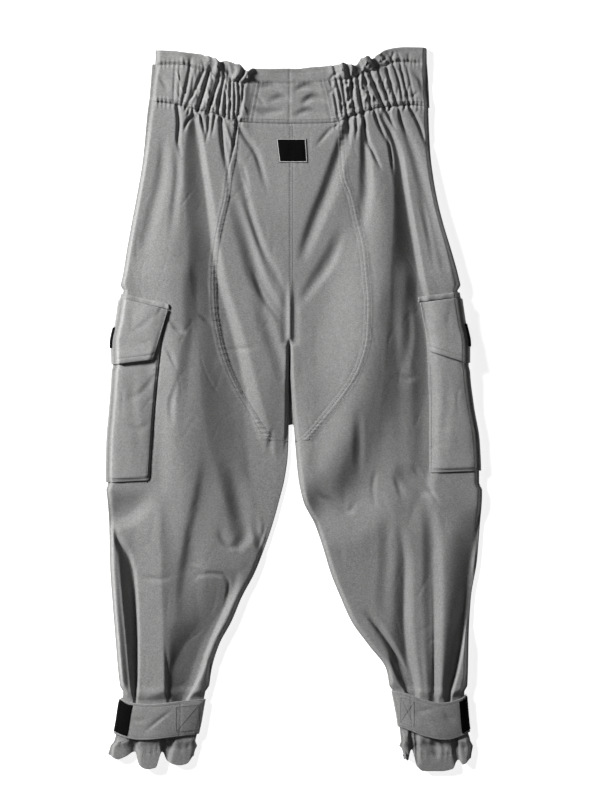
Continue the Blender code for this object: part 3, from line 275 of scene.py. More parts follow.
# Finer creases between the main folds.
FINE_CREASES = (
    # Left leg, from the waist down.
    sharp((-152, 76, -4, 4, 4), (-150, 99, -4.5, 4, 5), (-151, 121, -3, 4, 5), (-146, 148, 0, 3, 4)),
    sharp((-128, 86, 0, 3, 3), (-138, 98, -3.5, 4, 3), (-143, 112, 0, 4, 3)),
    sharp((-122, 86, -3, 3, 3), (-117, 102, -3.5, 4, 3), (-113, 118, 0, 3, 3)),
    sharp((-109, 88, -3, 4, 3), (-110, 108, -2.6, 4, 3), (-114, 128, 0, 3, 3)),
    sharp((-92, 92, -4, 5, 3), (-91, 115, -4.5, 6, 3), (-88, 140, -3, 6, 3), (-83, 170, -1.5, 6, 4),
          (-83, 200, 0, 6, 4)),
    rounded((-88, 98, 0, 4, 3), (-82, 118, 2, 4, 3), (-76, 140, 0, 4, 3)),
    sharp((-71, 98, -3.5, 4, 2.5), (-73, 115, -3.5, 4, 2.5), (-77, 139, -2, 3.5, 2.5), (-82, 162, 0, 3, 2.5)),
    sharp((-101, 90, -2, 3, 3), (-103, 104, -2, 3, 3), (-106, 120, 0, 3, 3)),
    sharp((-66, 148, 0, 3, 3), (-60, 170, -2, 4, 3), (-54, 192, 0, 3, 3)),
    sharp((-62, 200, 0, 5, 2.5), (-44, 250, -1.6, 6, 2.5), (-24, 305, 0, 5, 2.5)),
    sharp((-52, 290, 0, 6, 3), (-37, 330, -2, 7, 3), (-16, 362, -1, 5, 3), (-7, 372, 0, 4, 3)),
    sharp((-164, 363, 0, 3, 5), (-150, 379, -2.6, 3, 8), (-139, 383, 0, 3, 5)),
    sharp((-167, 401, 0, 3, 5), (-160, 415, -2, 3, 7), (-152, 432, 0, 3, 5)),
    sharp((-124, 357, 0, 3, 5), (-112, 367, -1.6, 3, 6), (-99, 376, 0, 3, 4)),
    soft((-152, 450, 0, 5, 5), (-160, 480, -1.6, 6, 6), (-158, 510, 0, 5, 5)),
    soft((-86, 405, 0, 5, 5), (-64, 403, -1.0, 5, 5), (-43, 402, 0, 4, 4)),
    sharp((-62, 486, 0, 7, 3), (-43, 528, -3, 9, 3), (-31, 558, 0, 7, 3)),
    sharp((-24, 510, 0, 4, 6), (-28, 540, -2.6, 5, 8), (-22, 570, 0, 4, 6)),
    soft((-50, 618, 0, 8, 7), (-43, 655, -2, 9, 8), (-38, 684, 0, 8, 7)),
    sharp((-40, 610, 0, 5, 8), (-34, 640, -2.2, 6, 10), (-44, 676, 0, 5, 8)),
    sharp((-97, 645, 0, 5, 9), (-90, 662, -1.6, 5, 10), (-80, 671, -1.8, 5, 10), (-64, 672, 0, 5, 8)),
    soft((-202, 711, 0, 4, 6), (-182, 713, -1.2, 4, 7), (-160, 714, 0, 4, 6)),
    rounded((-138, 696, 0, 2, 2), (-122, 697, 0.8, 2, 2), (-108, 706, 0, 2, 2)),
    sharp((-132, 710, 0, 2.5, 5), (-110, 707, -1.4, 2.5, 6), (-91, 709, -1.6, 2.5, 6), (-83, 722, -1.6, 2.5, 5),
          (-86, 742, -1.2, 2.5, 5), (-97, 768, 0, 2.5, 4)),
    sharp((-232, 668, 0, 2, 2), (-226, 732, 1.5, 2, 2), (-219.5, 800, 1.8, 2, 2), (-213.5, 872, 1.5, 2, 2)),
    sharp((-112, 815, 0, 5, 2.5), (-120, 838, -3, 6, 2.5), (-136, 868, -3.5, 6, 2.5), (-143, 878, -2, 5, 2.5)),
    sharp((-108, 818, 0, 2.5, 3), (-108, 850, -4, 2.5, 3), (-111, 878, -4, 2.5, 3)),
    # Right leg, from the waist down.
    sharp((77, 90, -3, 4, 4), (79, 110, -2.6, 4, 4), (80, 134, 0, 3, 3)),
    sharp((62, 100, 0, 4, 3), (48, 116, -2, 5, 3), (34, 133, 0, 4, 3)),
    sharp((89, 88, -3, 4, 3), (90, 106, -2.4, 4, 3), (88, 126, 0, 3, 3)),
    sharp((99, 86, -5, 4, 3), (103, 117, -5, 5, 2.5), (113, 140, -3.6, 5, 2.5), (124, 164, 0, 4, 2.5)),
    sharp((114, 84, -4, 4, 3), (119, 99, -4.4, 4, 2.5), (137, 134, 0, 4, 2.5)),
    sharp((128, 80, -4, 4, 3), (135, 94, -4, 4, 2.5), (143, 110, 0, 3, 2.5)),
    sharp((130, 112, 0, 3, 3), (136, 140, -3, 4, 3), (139, 170, 0, 3, 3)),
    sharp((160, 75, -3.4, 4, 3), (173, 99, -3.4, 5, 3), (189, 145, 0, 5, 3)),
    sharp((146, 78, -2, 3, 3), (150, 95, -2.4, 4, 3), (160, 120, 0, 3, 3)),
    soft((172, 190, 0, 6, 6), (184, 238, -1.4, 7, 6), (196, 300, 0, 6, 6)),
    soft((157, 330, 0, 10, 8), (160, 385, -1.2, 12, 9), (153, 438, 0, 10, 8)),
    sharp((146, 436, 0, 5, 8), (158, 444, -1.0, 6, 9), (172, 442, 0, 5, 7)),
    sharp((164, 558, 0, 4, 4), (175, 575, -2, 5, 4), (186, 590, -4, 6, 3), (201, 611, 0, 4, 3)),
    sharp((139, 570, 0, 4, 8), (145, 587, -1.6, 5, 10), (152, 608, 0, 4, 8)),
    soft((92, 480, 0, 9, 8), (93, 530, -1.2, 11, 9), (92, 580, 0, 9, 8)),
    sharp((118, 560, 0, 4, 4), (112, 590, -1.4, 5, 4), (116, 622, 0, 4, 4)),
    sharp((36, 597, 0, 3, 6), (58, 611, -2.4, 3, 8), (79, 624, -2, 3, 7), (90, 608, 0, 3, 6)),
    sharp((104, 764, 0, 3, 6), (127, 792, -2.6, 3, 8), (149, 832, -3, 3, 7), (163, 868, 0, 3, 6)),
    sharp((133, 815, 0, 2.5, 6), (147, 848, -3.5, 2.5, 7), (161, 872, -2.5, 2.5, 6), (166, 900, 0, 2.5, 5)),
    sharp((237, 842, 0, 3, 5), (233, 858, -2.5, 3, 5), (229, 876, -1, 3, 4)),
    sharp((193, 700, 0, 2.5, 4), (194, 790, -1.6, 2.5, 4), (193, 866, -2, 2.5, 4)),
    # Block at the centre back of the band.
    soft((-46, 52, 0, 4, 7), (-28, 50, -1.8, 4, 9), (-10, 56, 0, 4, 7)),
    soft((-30, 70, 0, 4, 6), (-12, 66, -1.8, 4, 9), (2, 71, 0, 4, 6)),
    soft((-52, 78, 0, 4, 6), (-30, 86, -2.6, 4, 9), (-6, 84, 0, 4, 6)),
    soft((5, 56, 0, 4, 6), (24, 50, -2.6, 4, 8), (46, 57, 0, 4, 6)),
    soft((14, 74, 0, 4, 6), (32, 66, -3.0, 4, 9), (52, 71, 0, 4, 6)),
    soft((4, 90, 0, 4, 6), (24, 84, -2.2, 4, 8), (50, 91, 0, 4, 6)),
    sharp((-52, 60, 0, 3, 4), (-42, 66, -1.4, 3, 5), (-34, 76, 0, 3, 4)),
    # Smooth ends of the band.
    soft((-180, 34, 0, 5, 5), (-172, 42, -1.2, 5, 6), (-164, 58, 0, 5, 5)),
    soft((164, 30, 0, 4, 6), (176, 44, -1.6, 5, 7), (180, 66, 0, 5, 5)),
    # Hem pleats.
    sharp((-208, 918, -5, 14, 4), (-211, 950, -3, 12, 5), (-212, 985, -2, 10, 5)),
    sharp((-173, 924, -9, 4, 6), (-169, 952, -10, 4, 5), (-168, 985, -10, 4, 5)),
    sharp((163, 918, -7, 5, 3), (165, 950, -9, 5, 3), (166, 985, -9, 5, 3)),
    sharp((222, 924, -4, 5, 2.5), (226, 948, -8, 6, 2.5), (229, 970, -8, 6, 2.5)),
    soft((178, 928, 0, 5, 6), (186, 936, -1.3, 5, 6), (198, 941, 0, 4, 4)),
    sharp((199, 927, -2.4, 6, 5), (206, 937, -2, 6, 5), (213, 945, 0, 4, 3)),
)

# Valleys that the elastic draws into the band.
BAND_CREASES = (
    sharp((-155, 22, -1, 2, 2), (-156, 50, -1.8, 2, 2), (-157, 74, -1, 2, 2)),
    sharp((-149, 22, -1, 2, 2), (-149, 50, -1.6, 2, 2), (-150, 75, -2, 3, 3)),
    sharp((-134, 24, -2, 4, 3), (-139, 50, -4, 5, 3.5), (-146, 76, -3, 4, 3)),
    sharp((-116, 30, -3, 5, 3), (-125, 50, -4, 6, 3.5), (-138, 77, -2.5, 4, 3)),
    sharp((-109, 32, -6, 5, 3), (-115, 55, -7.5, 6, 3), (-124, 84, -6, 5, 3)),
    sharp((-101, 36, 0, 3, 2.5), (-107, 58, -2.2, 3, 2.5), (-112, 72, 0, 3, 2.5)),
    sharp((-94, 36, -5, 5, 3), (-102, 60, -6.5, 6, 3), (-110, 86, -5, 5, 3)),
    sharp((-88, 38, -4, 4, 3), (-93, 62, -5, 4.5, 3), (-97, 88, -4, 4, 3)),
    sharp((-84, 40, -3, 3.5, 2.5), (-87, 66, -4, 3.5, 2.5), (-88, 92, -5, 4, 3)),
    sharp((-80, 42, -4, 3.5, 2.5), (-80, 66, -4.5, 3.5, 2.5), (-81, 94, -4, 3.5, 2.5)),
    sharp((-75, 44, -2, 3, 2.5), (-74, 68, -3.6, 3, 2.5), (-75, 94, -4, 3, 2.5)),
    sharp((-70, 44, -3, 3.5, 2.5), (-68, 66, -4, 3.5, 2.5), (-71, 95, -4, 3.5, 2.5)),
    sharp((-62, 45, -3, 4, 2.5), (-64, 66, -3.6, 4, 2.5), (-68, 90, -2.5, 3.5, 2.5)),
    sharp((-128, 30, 0, 3, 2.5), (-131, 48, -1.8, 3, 2.5), (-134, 66, 0, 3, 2.5)),
    sharp((55, 44, -3, 3, 3), (60, 60, -4, 4, 3), (66, 94, -4, 4, 3)),
    sharp((63, 42, -4, 4, 3), (67, 58, -5.5, 4.5, 3), (71, 90, -4, 4, 3)),
    sharp((70, 42, -5, 4, 3), (73, 62, -6, 5, 3), (77, 90, -5, 5, 3)),
    sharp((77, 42, -2, 3, 2.5), (79, 60, -3.5, 3.5, 2.5), (82, 84, -1, 3, 2.5)),
    sharp((83, 40, -5, 4, 3), (84, 60, -6, 5, 3), (88, 88, -4.5, 4, 3)),
    sharp((91, 36, -5, 4, 3), (94, 58, -6.5, 5, 3), (99, 86, -6, 5, 3)),
    sharp((100, 34, -3, 4, 2.5), (105, 54, -4.4, 4, 3), (110, 82, -3, 4, 3)),
    sharp((107, 30, -5, 5, 3), (117, 54, -8, 6, 3), (128, 80, -6, 5, 3)),
    sharp((118, 26, -2, 3, 2.5), (125, 46, -4, 4, 2.5), (136, 78, -3, 4, 2.5)),
    sharp((129, 22, -3, 4, 3), (137, 50, -5, 4.5, 3), (145, 76, -4.5, 4, 3)),
    sharp((138, 16, -2, 3, 2.5), (147, 44, -3.4, 3.5, 2.5), (153, 75, -2, 3, 2.5)),
    sharp((147, 14, -2, 3, 2.5), (154, 44, -3, 3, 2.5), (161, 74, -3, 4, 3)),
    sharp((156, 18, -1, 2.5, 2.5), (162, 44, -1.8, 3, 2.5), (168, 72, -1, 3, 3)),
)

# Rolls and hollows of the frill: a rise above its plain surface.
FRILL_CREASES = (
    rounded((-99, 10, 2.5, 5, 4), (-97, 22, 4.5, 5, 4), (-99, 34, 2, 4, 4)),
    soft((-107, 20, -3, 4, 4), (-106, 28, -4, 5, 4), (-104, 34, -2, 4, 4)),
    rounded((-72, 20, 2, 6, 5), (-68, 30, 4.5, 7, 5), (-76, 44, 2.5, 5, 4)),
    sharp((-60, 26, -2, 3, 3), (-66, 38, -4, 3, 3), (-76, 46, -2, 3, 3)),
    rounded((-53, 26, 2, 4, 4), (-57, 34, 4.5, 4, 4), (-64, 44, 2, 4, 4)),
    sharp((-86, 16, -2, 3, 3), (-83, 28, -3, 3, 3), (-84, 40, -2, 3, 3)),
    soft((-135, 8, 0, 4, 4), (-134, 16, -1.5, 4, 4), (-133, 24, -1.5, 4, 4)),
    rounded((-146, 10, 0, 3, 3), (-145, 17, 1.6, 3, 3), (-146, 22, 1, 3, 3)),
    sharp((58, 18, -3, 3, 3), (61, 30, -4, 3, 3), (62, 40, -3, 3, 3)),
    rounded((70, 18, 2, 5, 4), (72, 30, 3.5, 5, 4), (74, 40, 2, 4, 3)),
    rounded((84, 20, 2, 4, 4), (84, 30, 3, 4, 4), (85, 38, 2, 3, 3)),
    sharp((78, 20, -2, 3, 3), (79, 30, -3.5, 3, 3), (81, 40, -2, 3, 3)),
    sharp((92, 16, -3, 2.5, 3), (97, 30, -4, 2.5, 3), (104, 40, -3, 2.5, 3)),
    rounded((99, 8, 3, 6, 6), (107, 22, 6, 7, 6), (118, 38, 3, 5, 5)),
    sharp((112, 10, -2, 2.5, 3), (121, 24, -4, 2.5, 3), (130, 38, -3, 2.5, 3)),
    rounded((119, 6, 1, 4, 4), (128, 20, 3, 4, 4), (137, 34, 1, 4, 4)),
    sharp((131, 3, 0, 3, 3), (136, 12, -2, 3, 3), (142, 22, -2, 3, 3)),
    sharp((144, 2, 0, 3, 3), (147, 10, -1.6, 3, 3), (150, 20, -2, 3, 3)),
    soft((160, 2, 0, 4, 4), (160, 12, -1.2, 4, 4), (160, 20, -1, 4, 4)),
)

# Creases of the pocket bags, the flaps and the straps; those of the pockets are on both sides.
BAG_CREASES = (
    soft((182, 440, -1.0, 4, 6), (200, 462, -1.4, 6, 8), (222, 474, 0, 6, 8)),
    soft((185, 500, 0, 5, 5), (203, 510, -1.1, 6, 7), (224, 504, 0, 6, 7)),
    sharp((186, 470, -0.8, 3, 4), (194, 480, -0.7, 3, 4), (200, 492, 0, 3, 4)),
    sharp((188, 540, -0.7, 3, 4), (198, 532, -0.8, 3, 4), (208, 530, 0, 3, 4)),
    soft((208, 430, 0, 8, 8), (212, 470, -1.4, 10, 10), (206, 530, -1.0, 10, 10), (210, 566, 0, 8, 8)),
    sharp((232, 446, 0, 4, 3), (225, 470, -0.9, 4, 3), (228, 500, 0, 4, 3)),
)
FLAP_CREASES = (
    soft((180, 352, 0, 4, 6), (198, 372, -1.2, 5, 8), (220, 384, 0, 5, 8)),
    sharp((184, 388, 0, 3, 4), (196, 396, -0.8, 3, 5), (212, 398, 0, 3, 5)),
    soft((216, 346, 0, 5, 5), (212, 366, -0.8, 6, 6), (218, 392, 0, 5, 5)),
    sharp((172, 350, -1.5, 4, 4), (178, 358, -1.0, 4, 4), (186, 364, 0, 3, 3)),
)
STRAP_CREASES = {
    Side.LEFT: (
        sharp((-198, 921, 0, 3, 5), (-178, 905, -1.6, 3, 6), (-155, 887, 0, 3, 5)),
        sharp((-147, 876, -0.5, 1.5, 2), (-147, 900, -0.5, 1.5, 2), (-149, 928, -0.5, 1.5, 2)),
        soft((-214, 900, 0, 5, 6), (-205, 904, -1.0, 5, 6), (-190, 902, 0, 5, 6)),
        sharp((-144, 879, -1.0, 2, 3), (-128, 878, -1.2, 2, 3), (-119, 878, -0.8, 2, 3))),
    Side.RIGHT: (
        sharp((166, 894, 0, 3, 4), (183, 890, -1.6, 3, 6), (199, 887, 0, 3, 4)),
        sharp((167, 894, 0, 3, 3), (180, 903, -1.6, 4, 3), (192, 912, 0, 3, 3)),
        sharp((163, 870, -0.5, 1.5, 2), (163, 895, -0.5, 1.5, 2), (165, 922, -0.5, 1.5, 2)),
        soft((205, 890, 0, 6, 6), (214, 900, -1.0, 7, 7), (224, 904, 0, 6, 6))),
}

POCKETS = (
    Pocket(Side.LEFT, ((348, -166), (385, -173), (424, -177), (481, -183), (583, -190)), (580, 583), (-164, -184),
           (352, 337), (418, 424), (-163, 344, 330), (375, 402)),
    Pocket(Side.RIGHT, ((348, 179), (405, 185), (489, 188), (570, 188)), (570, 567), (176, 188), (342, 336),
           (407, 422), (174, 334, 328), (370, 400)),
)
STRAPS = (
    Strap(Side.LEFT, ((-232, 872), (-215, 880), (-190, 882), (-146, 878), (-108, 876)),
          ((-238, 921), (-219, 927), (-200, 929), (-155, 925), (-115, 921)), 13.0, 31.0),
    Strap(Side.RIGHT, ((138, 865), (154, 867), (180, 876), (205, 880), (230, 875), (242, 867)),
          ((142, 911), (162, 917), (180, 924), (210, 929), (231, 924), (244, 918)), 6.0, 19.0),
)


def ease(value: Array) -> Array:
    """Give a smooth ramp from 0 to 1."""
    share = np.clip(value, 0.0, 1.0)
    return share * share * (3.0 - 2.0 * share)


def between(ends: Sequence[Array], share: Array) -> Array:
    """Give what lies a share of the way from the first of two values to the second."""
    return ends[0] + (ends[1] - ends[0]) * share


def window(at: Array, rise: tuple[float, float], fall: tuple[float, float]) -> Array:
    """Give 1 between a ramp up and a ramp down, each the place and the length of the ramp."""
    return ease((at - rise[0]) / rise[1]) * ease((fall[0] - at) / fall[1])


def bell(away: Array, width: float) -> Array:
    """Give a bell-shaped bump from 1 in its middle to 0."""
    return np.exp(-0.5 * (away / width) ** 2)


def soft_max(first: Array, second: Array, blend: float) -> Array:
    """Give the greater of two heights, rounded where they meet."""
    return 0.5 * (first + second + np.sqrt((first - second) ** 2 + blend ** 2))


def soft_min(first: Array, second: Array, blend: float) -> Array:
    """Give the lesser of two heights, rounded where they meet."""
    return 0.5 * (first + second - np.sqrt((first - second) ** 2 + blend ** 2))


def curve(stations: Sequence[float], values: Sequence[float], at: Array) -> Array:
    """Follow a smooth curve through stations without overshooting its values.

    Args:
        stations: Rising positions of the known values.
        values: The value at each station.
        at: Positions to read; those outside the stations take the end values.

    Returns:
        The value at each position.
    """
    x = np.asarray(stations, float)
    y = np.asarray(values, float)
    step = np.diff(x)
    slope = np.diff(y) / step
    tangent = np.zeros(len(x))
    tangent[0] = slope[0]
    tangent[-1] = slope[-1]
    for i in range(1, len(x) - 1):
        if slope[i - 1] * slope[i] > 0:
            tangent[i] = 2 * slope[i - 1] * slope[i] / (slope[i - 1] + slope[i])
    at = np.clip(np.asarray(at, float), x[0], x[-1])
    k = np.clip(np.searchsorted(x, at, side="right") - 1, 0, len(step) - 1)
    t = (at - x[k]) / step[k]
    start = (1 + 2 * t) * (1 - t) ** 2 * y[k] + t * (1 - t) ** 2 * step[k] * tangent[k]
    end = t * t * (3 - 2 * t) * y[k + 1] + t * t * (t - 1) * step[k] * tangent[k + 1]
    return start + end


def read(table: Table, at: Array, column: int = 1) -> Array:
    """Read a column of a table along its first column."""
    return curve([row[0] for row in table], [row[column] for row in table], at)


def blur(heights: Array, across: float, drop: float) -> Array:
    """Soften a map with a bell-shaped window.

    Args:
        heights: A map on the even grid.
        across: Width of the window's bell to each side, in mm.
        drop: The same, down the garment.

    Returns:
        The softened map.
    """
    for axis, size in ((1, across), (0, drop)):
        reach = max(1, int(round(2.6 * size / STEP)))
        window = np.exp(-0.5 * (np.arange(-reach, reach + 1) * STEP / size) ** 2)
        window /= window.sum()
        pad = [(0, 0), (0, 0)]
        pad[axis] = (reach, reach)
        wide = np.pad(heights, pad, mode="edge")
        count = heights.shape[axis]
        heights = np.zeros_like(heights)
        for k, weight in enumerate(window):
            heights += weight * (wide[:, k:k + count] if axis else wide[k:k + count])
    return heights


def noise(rng: np.random.Generator, across: float, drop: float) -> Array:
    """Draw a soft random map whose spread is 1."""
    rough = blur(rng.standard_normal(GRID), across, drop)
    return rough / rough.std()


def ridge(heights: Array) -> Array:
    """Tell how far a map stands above its own softened form."""
    return heights - blur(heights, 3.0, 3.0)


def sample(heights: Array, across: Array, drop: Array) -> Array:
    """Read a map at any points, between its grid points."""
    x, y = np.broadcast_arrays((across - ACROSS[0, 0]) / STEP, (drop - DROP[0, 0]) / STEP)
    i = np.clip(np.floor(x).astype(int), 0, heights.shape[1] - 2)
    j = np.clip(np.floor(y).astype(int), 0, heights.shape[0] - 2)
    u, v = x - i, y - j
    near = heights[j, i] * (1 - u) + heights[j, i + 1] * u
    far = heights[j + 1, i] * (1 - u) + heights[j + 1, i + 1] * u
    return near * (1 - v) + far * v


@dataclass(frozen=True)
class Layout:
    """Where the cut pieces' edges lie, and what wraps round the legs."""

    cloth: float = 1.6
    gap: float = 0.3
    clearance: float = 0.75
    second_gap: float = 0.5
    lift_reach: float = 8.0
    lift_ramp: float = 22.0
    lift_margin: float = 12.0
    inset_ramp: float = 9.0
    band_start: float = 326.0
    flap_end: float = 426.0
    bag_end: float = 585.0
    strap_start: float = 866.0
    strap_end: float = 931.0
    waist_row: float = 90.0
    waist_blend: float = 70.0
    crotch: float = 396.0
    front_crotch: float = 506.0
    seat_end: float = 529.0
    hem_row: float = 957.0
    hem_blend: float = 20.0
    edge_roll: float = 4.5
    edge_slope: float = 64.0
    edge_steep: tuple[float, float] = (0.8, 0.86)
    inseam_roll: float = 5.0
    inseam_slope: float = 78.0
    inseam_steep: tuple[float, float] = (0.5, 0.88)
    crotch_stretch: float = 0.6
    crotch_steep: float = 0.82
    crotch_ramp: tuple[float, float] = (490.0, 90.0)
    slit: tuple[tuple[float, float], ...] = ((380.0, 30.0), (560.0, 90.0))
    slit_tightness: float = 0.5
    flat: float = 0.4
    flat_width: float = 62.0
    flat_span: tuple[tuple[float, float], ...] = ((270.0, 74.0), (660.0, 76.0))
    strap_crown: float = 7.5

    @property
    def stack(self) -> float:
        """Height of two layers lying face to face."""
        return 2 * self.cloth + self.gap

    @property
    def wrap_inner(self) -> float:
        """Inner radius of a piece's turn round a leg's side."""
        return self.stack / 2 + self.clearance

    @property
    def wrap_outer(self) -> float:
        """Outer radius of that turn."""
        return self.wrap_inner + self.cloth

    @property
    def second_inner(self) -> float:
        """Inner radius of the turn of a flap over its bag."""
        return self.wrap_outer + self.second_gap

    @property
    def wrap_lift(self) -> float:
        """Height by which a wrap raises the leg."""
        return self.wrap_outer - self.stack / 2

    @property
    def second_lift(self) -> float:
        """Height by which a flap raises the leg further."""
        return self.second_gap + self.cloth

    def wraps(self, drop: Array) -> tuple[Array, Array, Array]:
        """Tell where a bag, a flap and a strap lie round a leg, from 0 to 1."""
        spans = ((self.band_start, self.bag_end), (self.band_start, self.flap_end),
                 (self.strap_start, self.strap_end))
        ramp = self.inset_ramp
        return tuple(ease((drop - start + ramp) / ramp) * ease((end + ramp - drop) / ramp) for start, end in spans)

    def outer(self, side: Side, drop: Array) -> Array:
        """Give the across position of a leg's outer edge, inside what wraps it."""
        bag, flap, strap = self.wraps(drop)
        inset = self.wrap_outer * np.maximum(bag, strap) + self.second_lift * flap
        return read(OUTLINE, drop, side.column) - side.value * inset

    def inner(self, side: Side, drop: Array) -> Array:
        """Give the across position of a leg's inner edge, inside its strap."""
        return read(INSEAM, drop, side.column) + side.value * self.wrap_outer * self.wraps(drop)[2]

    def seat(self, side: Side, drop: Array) -> Array:
        """Give the across position of the seat panel's seam."""
        seam = read(SEAT_SEAM, drop, side.column)
        return np.where(np.asarray(drop) >= self.seat_end, self.inner(side, drop), seam)

    def lift(self, across: Array, drop: Array, margin: float = 0.0) -> Array:
        """Give the height of the front layer's underside, over what wraps under it."""
        total = np.zeros(np.broadcast(across, drop).shape)
        bag, flap, strap = self.wraps(drop)
        for side, pocket in zip(Side, POCKETS):
            inner = np.abs(read(pocket.bag_edge, drop)) - self.lift_reach
            reach = ease((across * side.value - inner + margin + self.lift_ramp) / self.lift_ramp)
            leg = np.where(across * side.value > 0, 1.0, 0.0)
            raised = self.wrap_lift * bag + self.second_lift * flap
            total = total + leg * (reach * raised + self.wrap_lift * strap)
        return total

    def puff(self, across: Array, drop: Array) -> Array:
        """Give 1 in the middle of a leg, easing to 0 at its side and inseam."""
        outer = np.minimum(across - self.outer(Side.LEFT, drop), self.outer(Side.RIGHT, drop) - across)
        steep = np.where(across < 0, *self.edge_steep)
        above = np.clip(self.crotch - drop, 0.0, None) * self.crotch_stretch
        edge = np.where(across < 0, self.inner(Side.LEFT, drop), self.inner(Side.RIGHT, drop))
        inner = np.hypot(np.abs(across - edge), above)
        tight = 1.0 - self.slit_tightness * window(drop, *self.slit)
        firm = between((self.crotch_steep, np.where(across < 0, *self.inseam_steep)),
                       ease((drop - self.crotch_ramp[0]) / self.crotch_ramp[1]))
        flat = np.zeros(np.broadcast(across, drop).shape)
        for side, pocket in zip(Side, POCKETS):
            beyond = across * side.value - np.abs(read(pocket.bag_edge, drop)) + self.flat_width
            flat += ease(beyond / self.flat_width) * window(drop, *self.flat_span)
        return (self.rise(outer, self.edge_roll, self.edge_slope, steep)
                * self.rise(inner, self.inseam_roll * tight, self.inseam_slope, firm) * (1.0 - self.flat * flat))

    def rise(self, inside: Array, roll: Array, slope_width: float, steep: Array) -> Array:
        """Give the rise from an edge: a steep roll and a long slope, mixed by how steep it is."""
        near, far = (np.sin(np.clip(inside / size, 0.0, 1.0) * 0.5 * np.pi) for size in (roll, slope_width))
        return steep * near + (1 - steep) * far

    def settle(self, across: Array, drop: Array) -> Array:
        """Give a row's real drop: the first follows the waist seam, the last the hem."""
        seam = read(WAIST_SEAM, across) + self.gap - self.waist_row
        waist = (1 - ease((drop - self.waist_row) / self.waist_blend)) * seam
        hem = np.where(across < 0, read(HEM_LEFT, across), read(HEM_RIGHT, across))
        return drop + waist + ease((drop - (self.hem_row - self.hem_blend)) / self.hem_blend) * (hem - self.hem_row)

    def strap_drop(self, strap: Strap, across: Array, share: float) -> Array:
        """Give the drop on a strap, from its upper edge (0) to its lower one (1)."""
        return between((read(strap.top, across), read(strap.bottom, across)), share)

    def strap_under(self, side: Side, across: Array, drop: Array) -> Array:
        """Give the height of a strap's underside over the leg."""
        outer = self.outer(side, drop)
        inner = self.inner(side, drop)
        share = np.clip((across - inner) / (outer - inner), 0.0, 1.0)
        return self.wrap_outer + self.wrap_inner + self.strap_crown * np.sin(np.pi * share) ** 0.7


def shift(label_left: float = -18.0, label_top: float = 121.0) -> Array:
    """Give the move from the garment's layout to the frame, read from the seat label's box."""
    low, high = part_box("seat_label")
    return np.array([low.x / METRE - label_left, high.y / METRE + label_top, 0.0])


SHIFT = shift()
LAYOUT = Layout()


def place(across: Array, drop: Array, height: Array) -> Array:
    """Give points in millimetres in the frame, with the garment's top towards +Y."""
    across, drop, height = np.broadcast_arrays(across, drop, height)
    return np.stack([across + SHIFT[0], SHIFT[1] - drop, height], axis=-1)


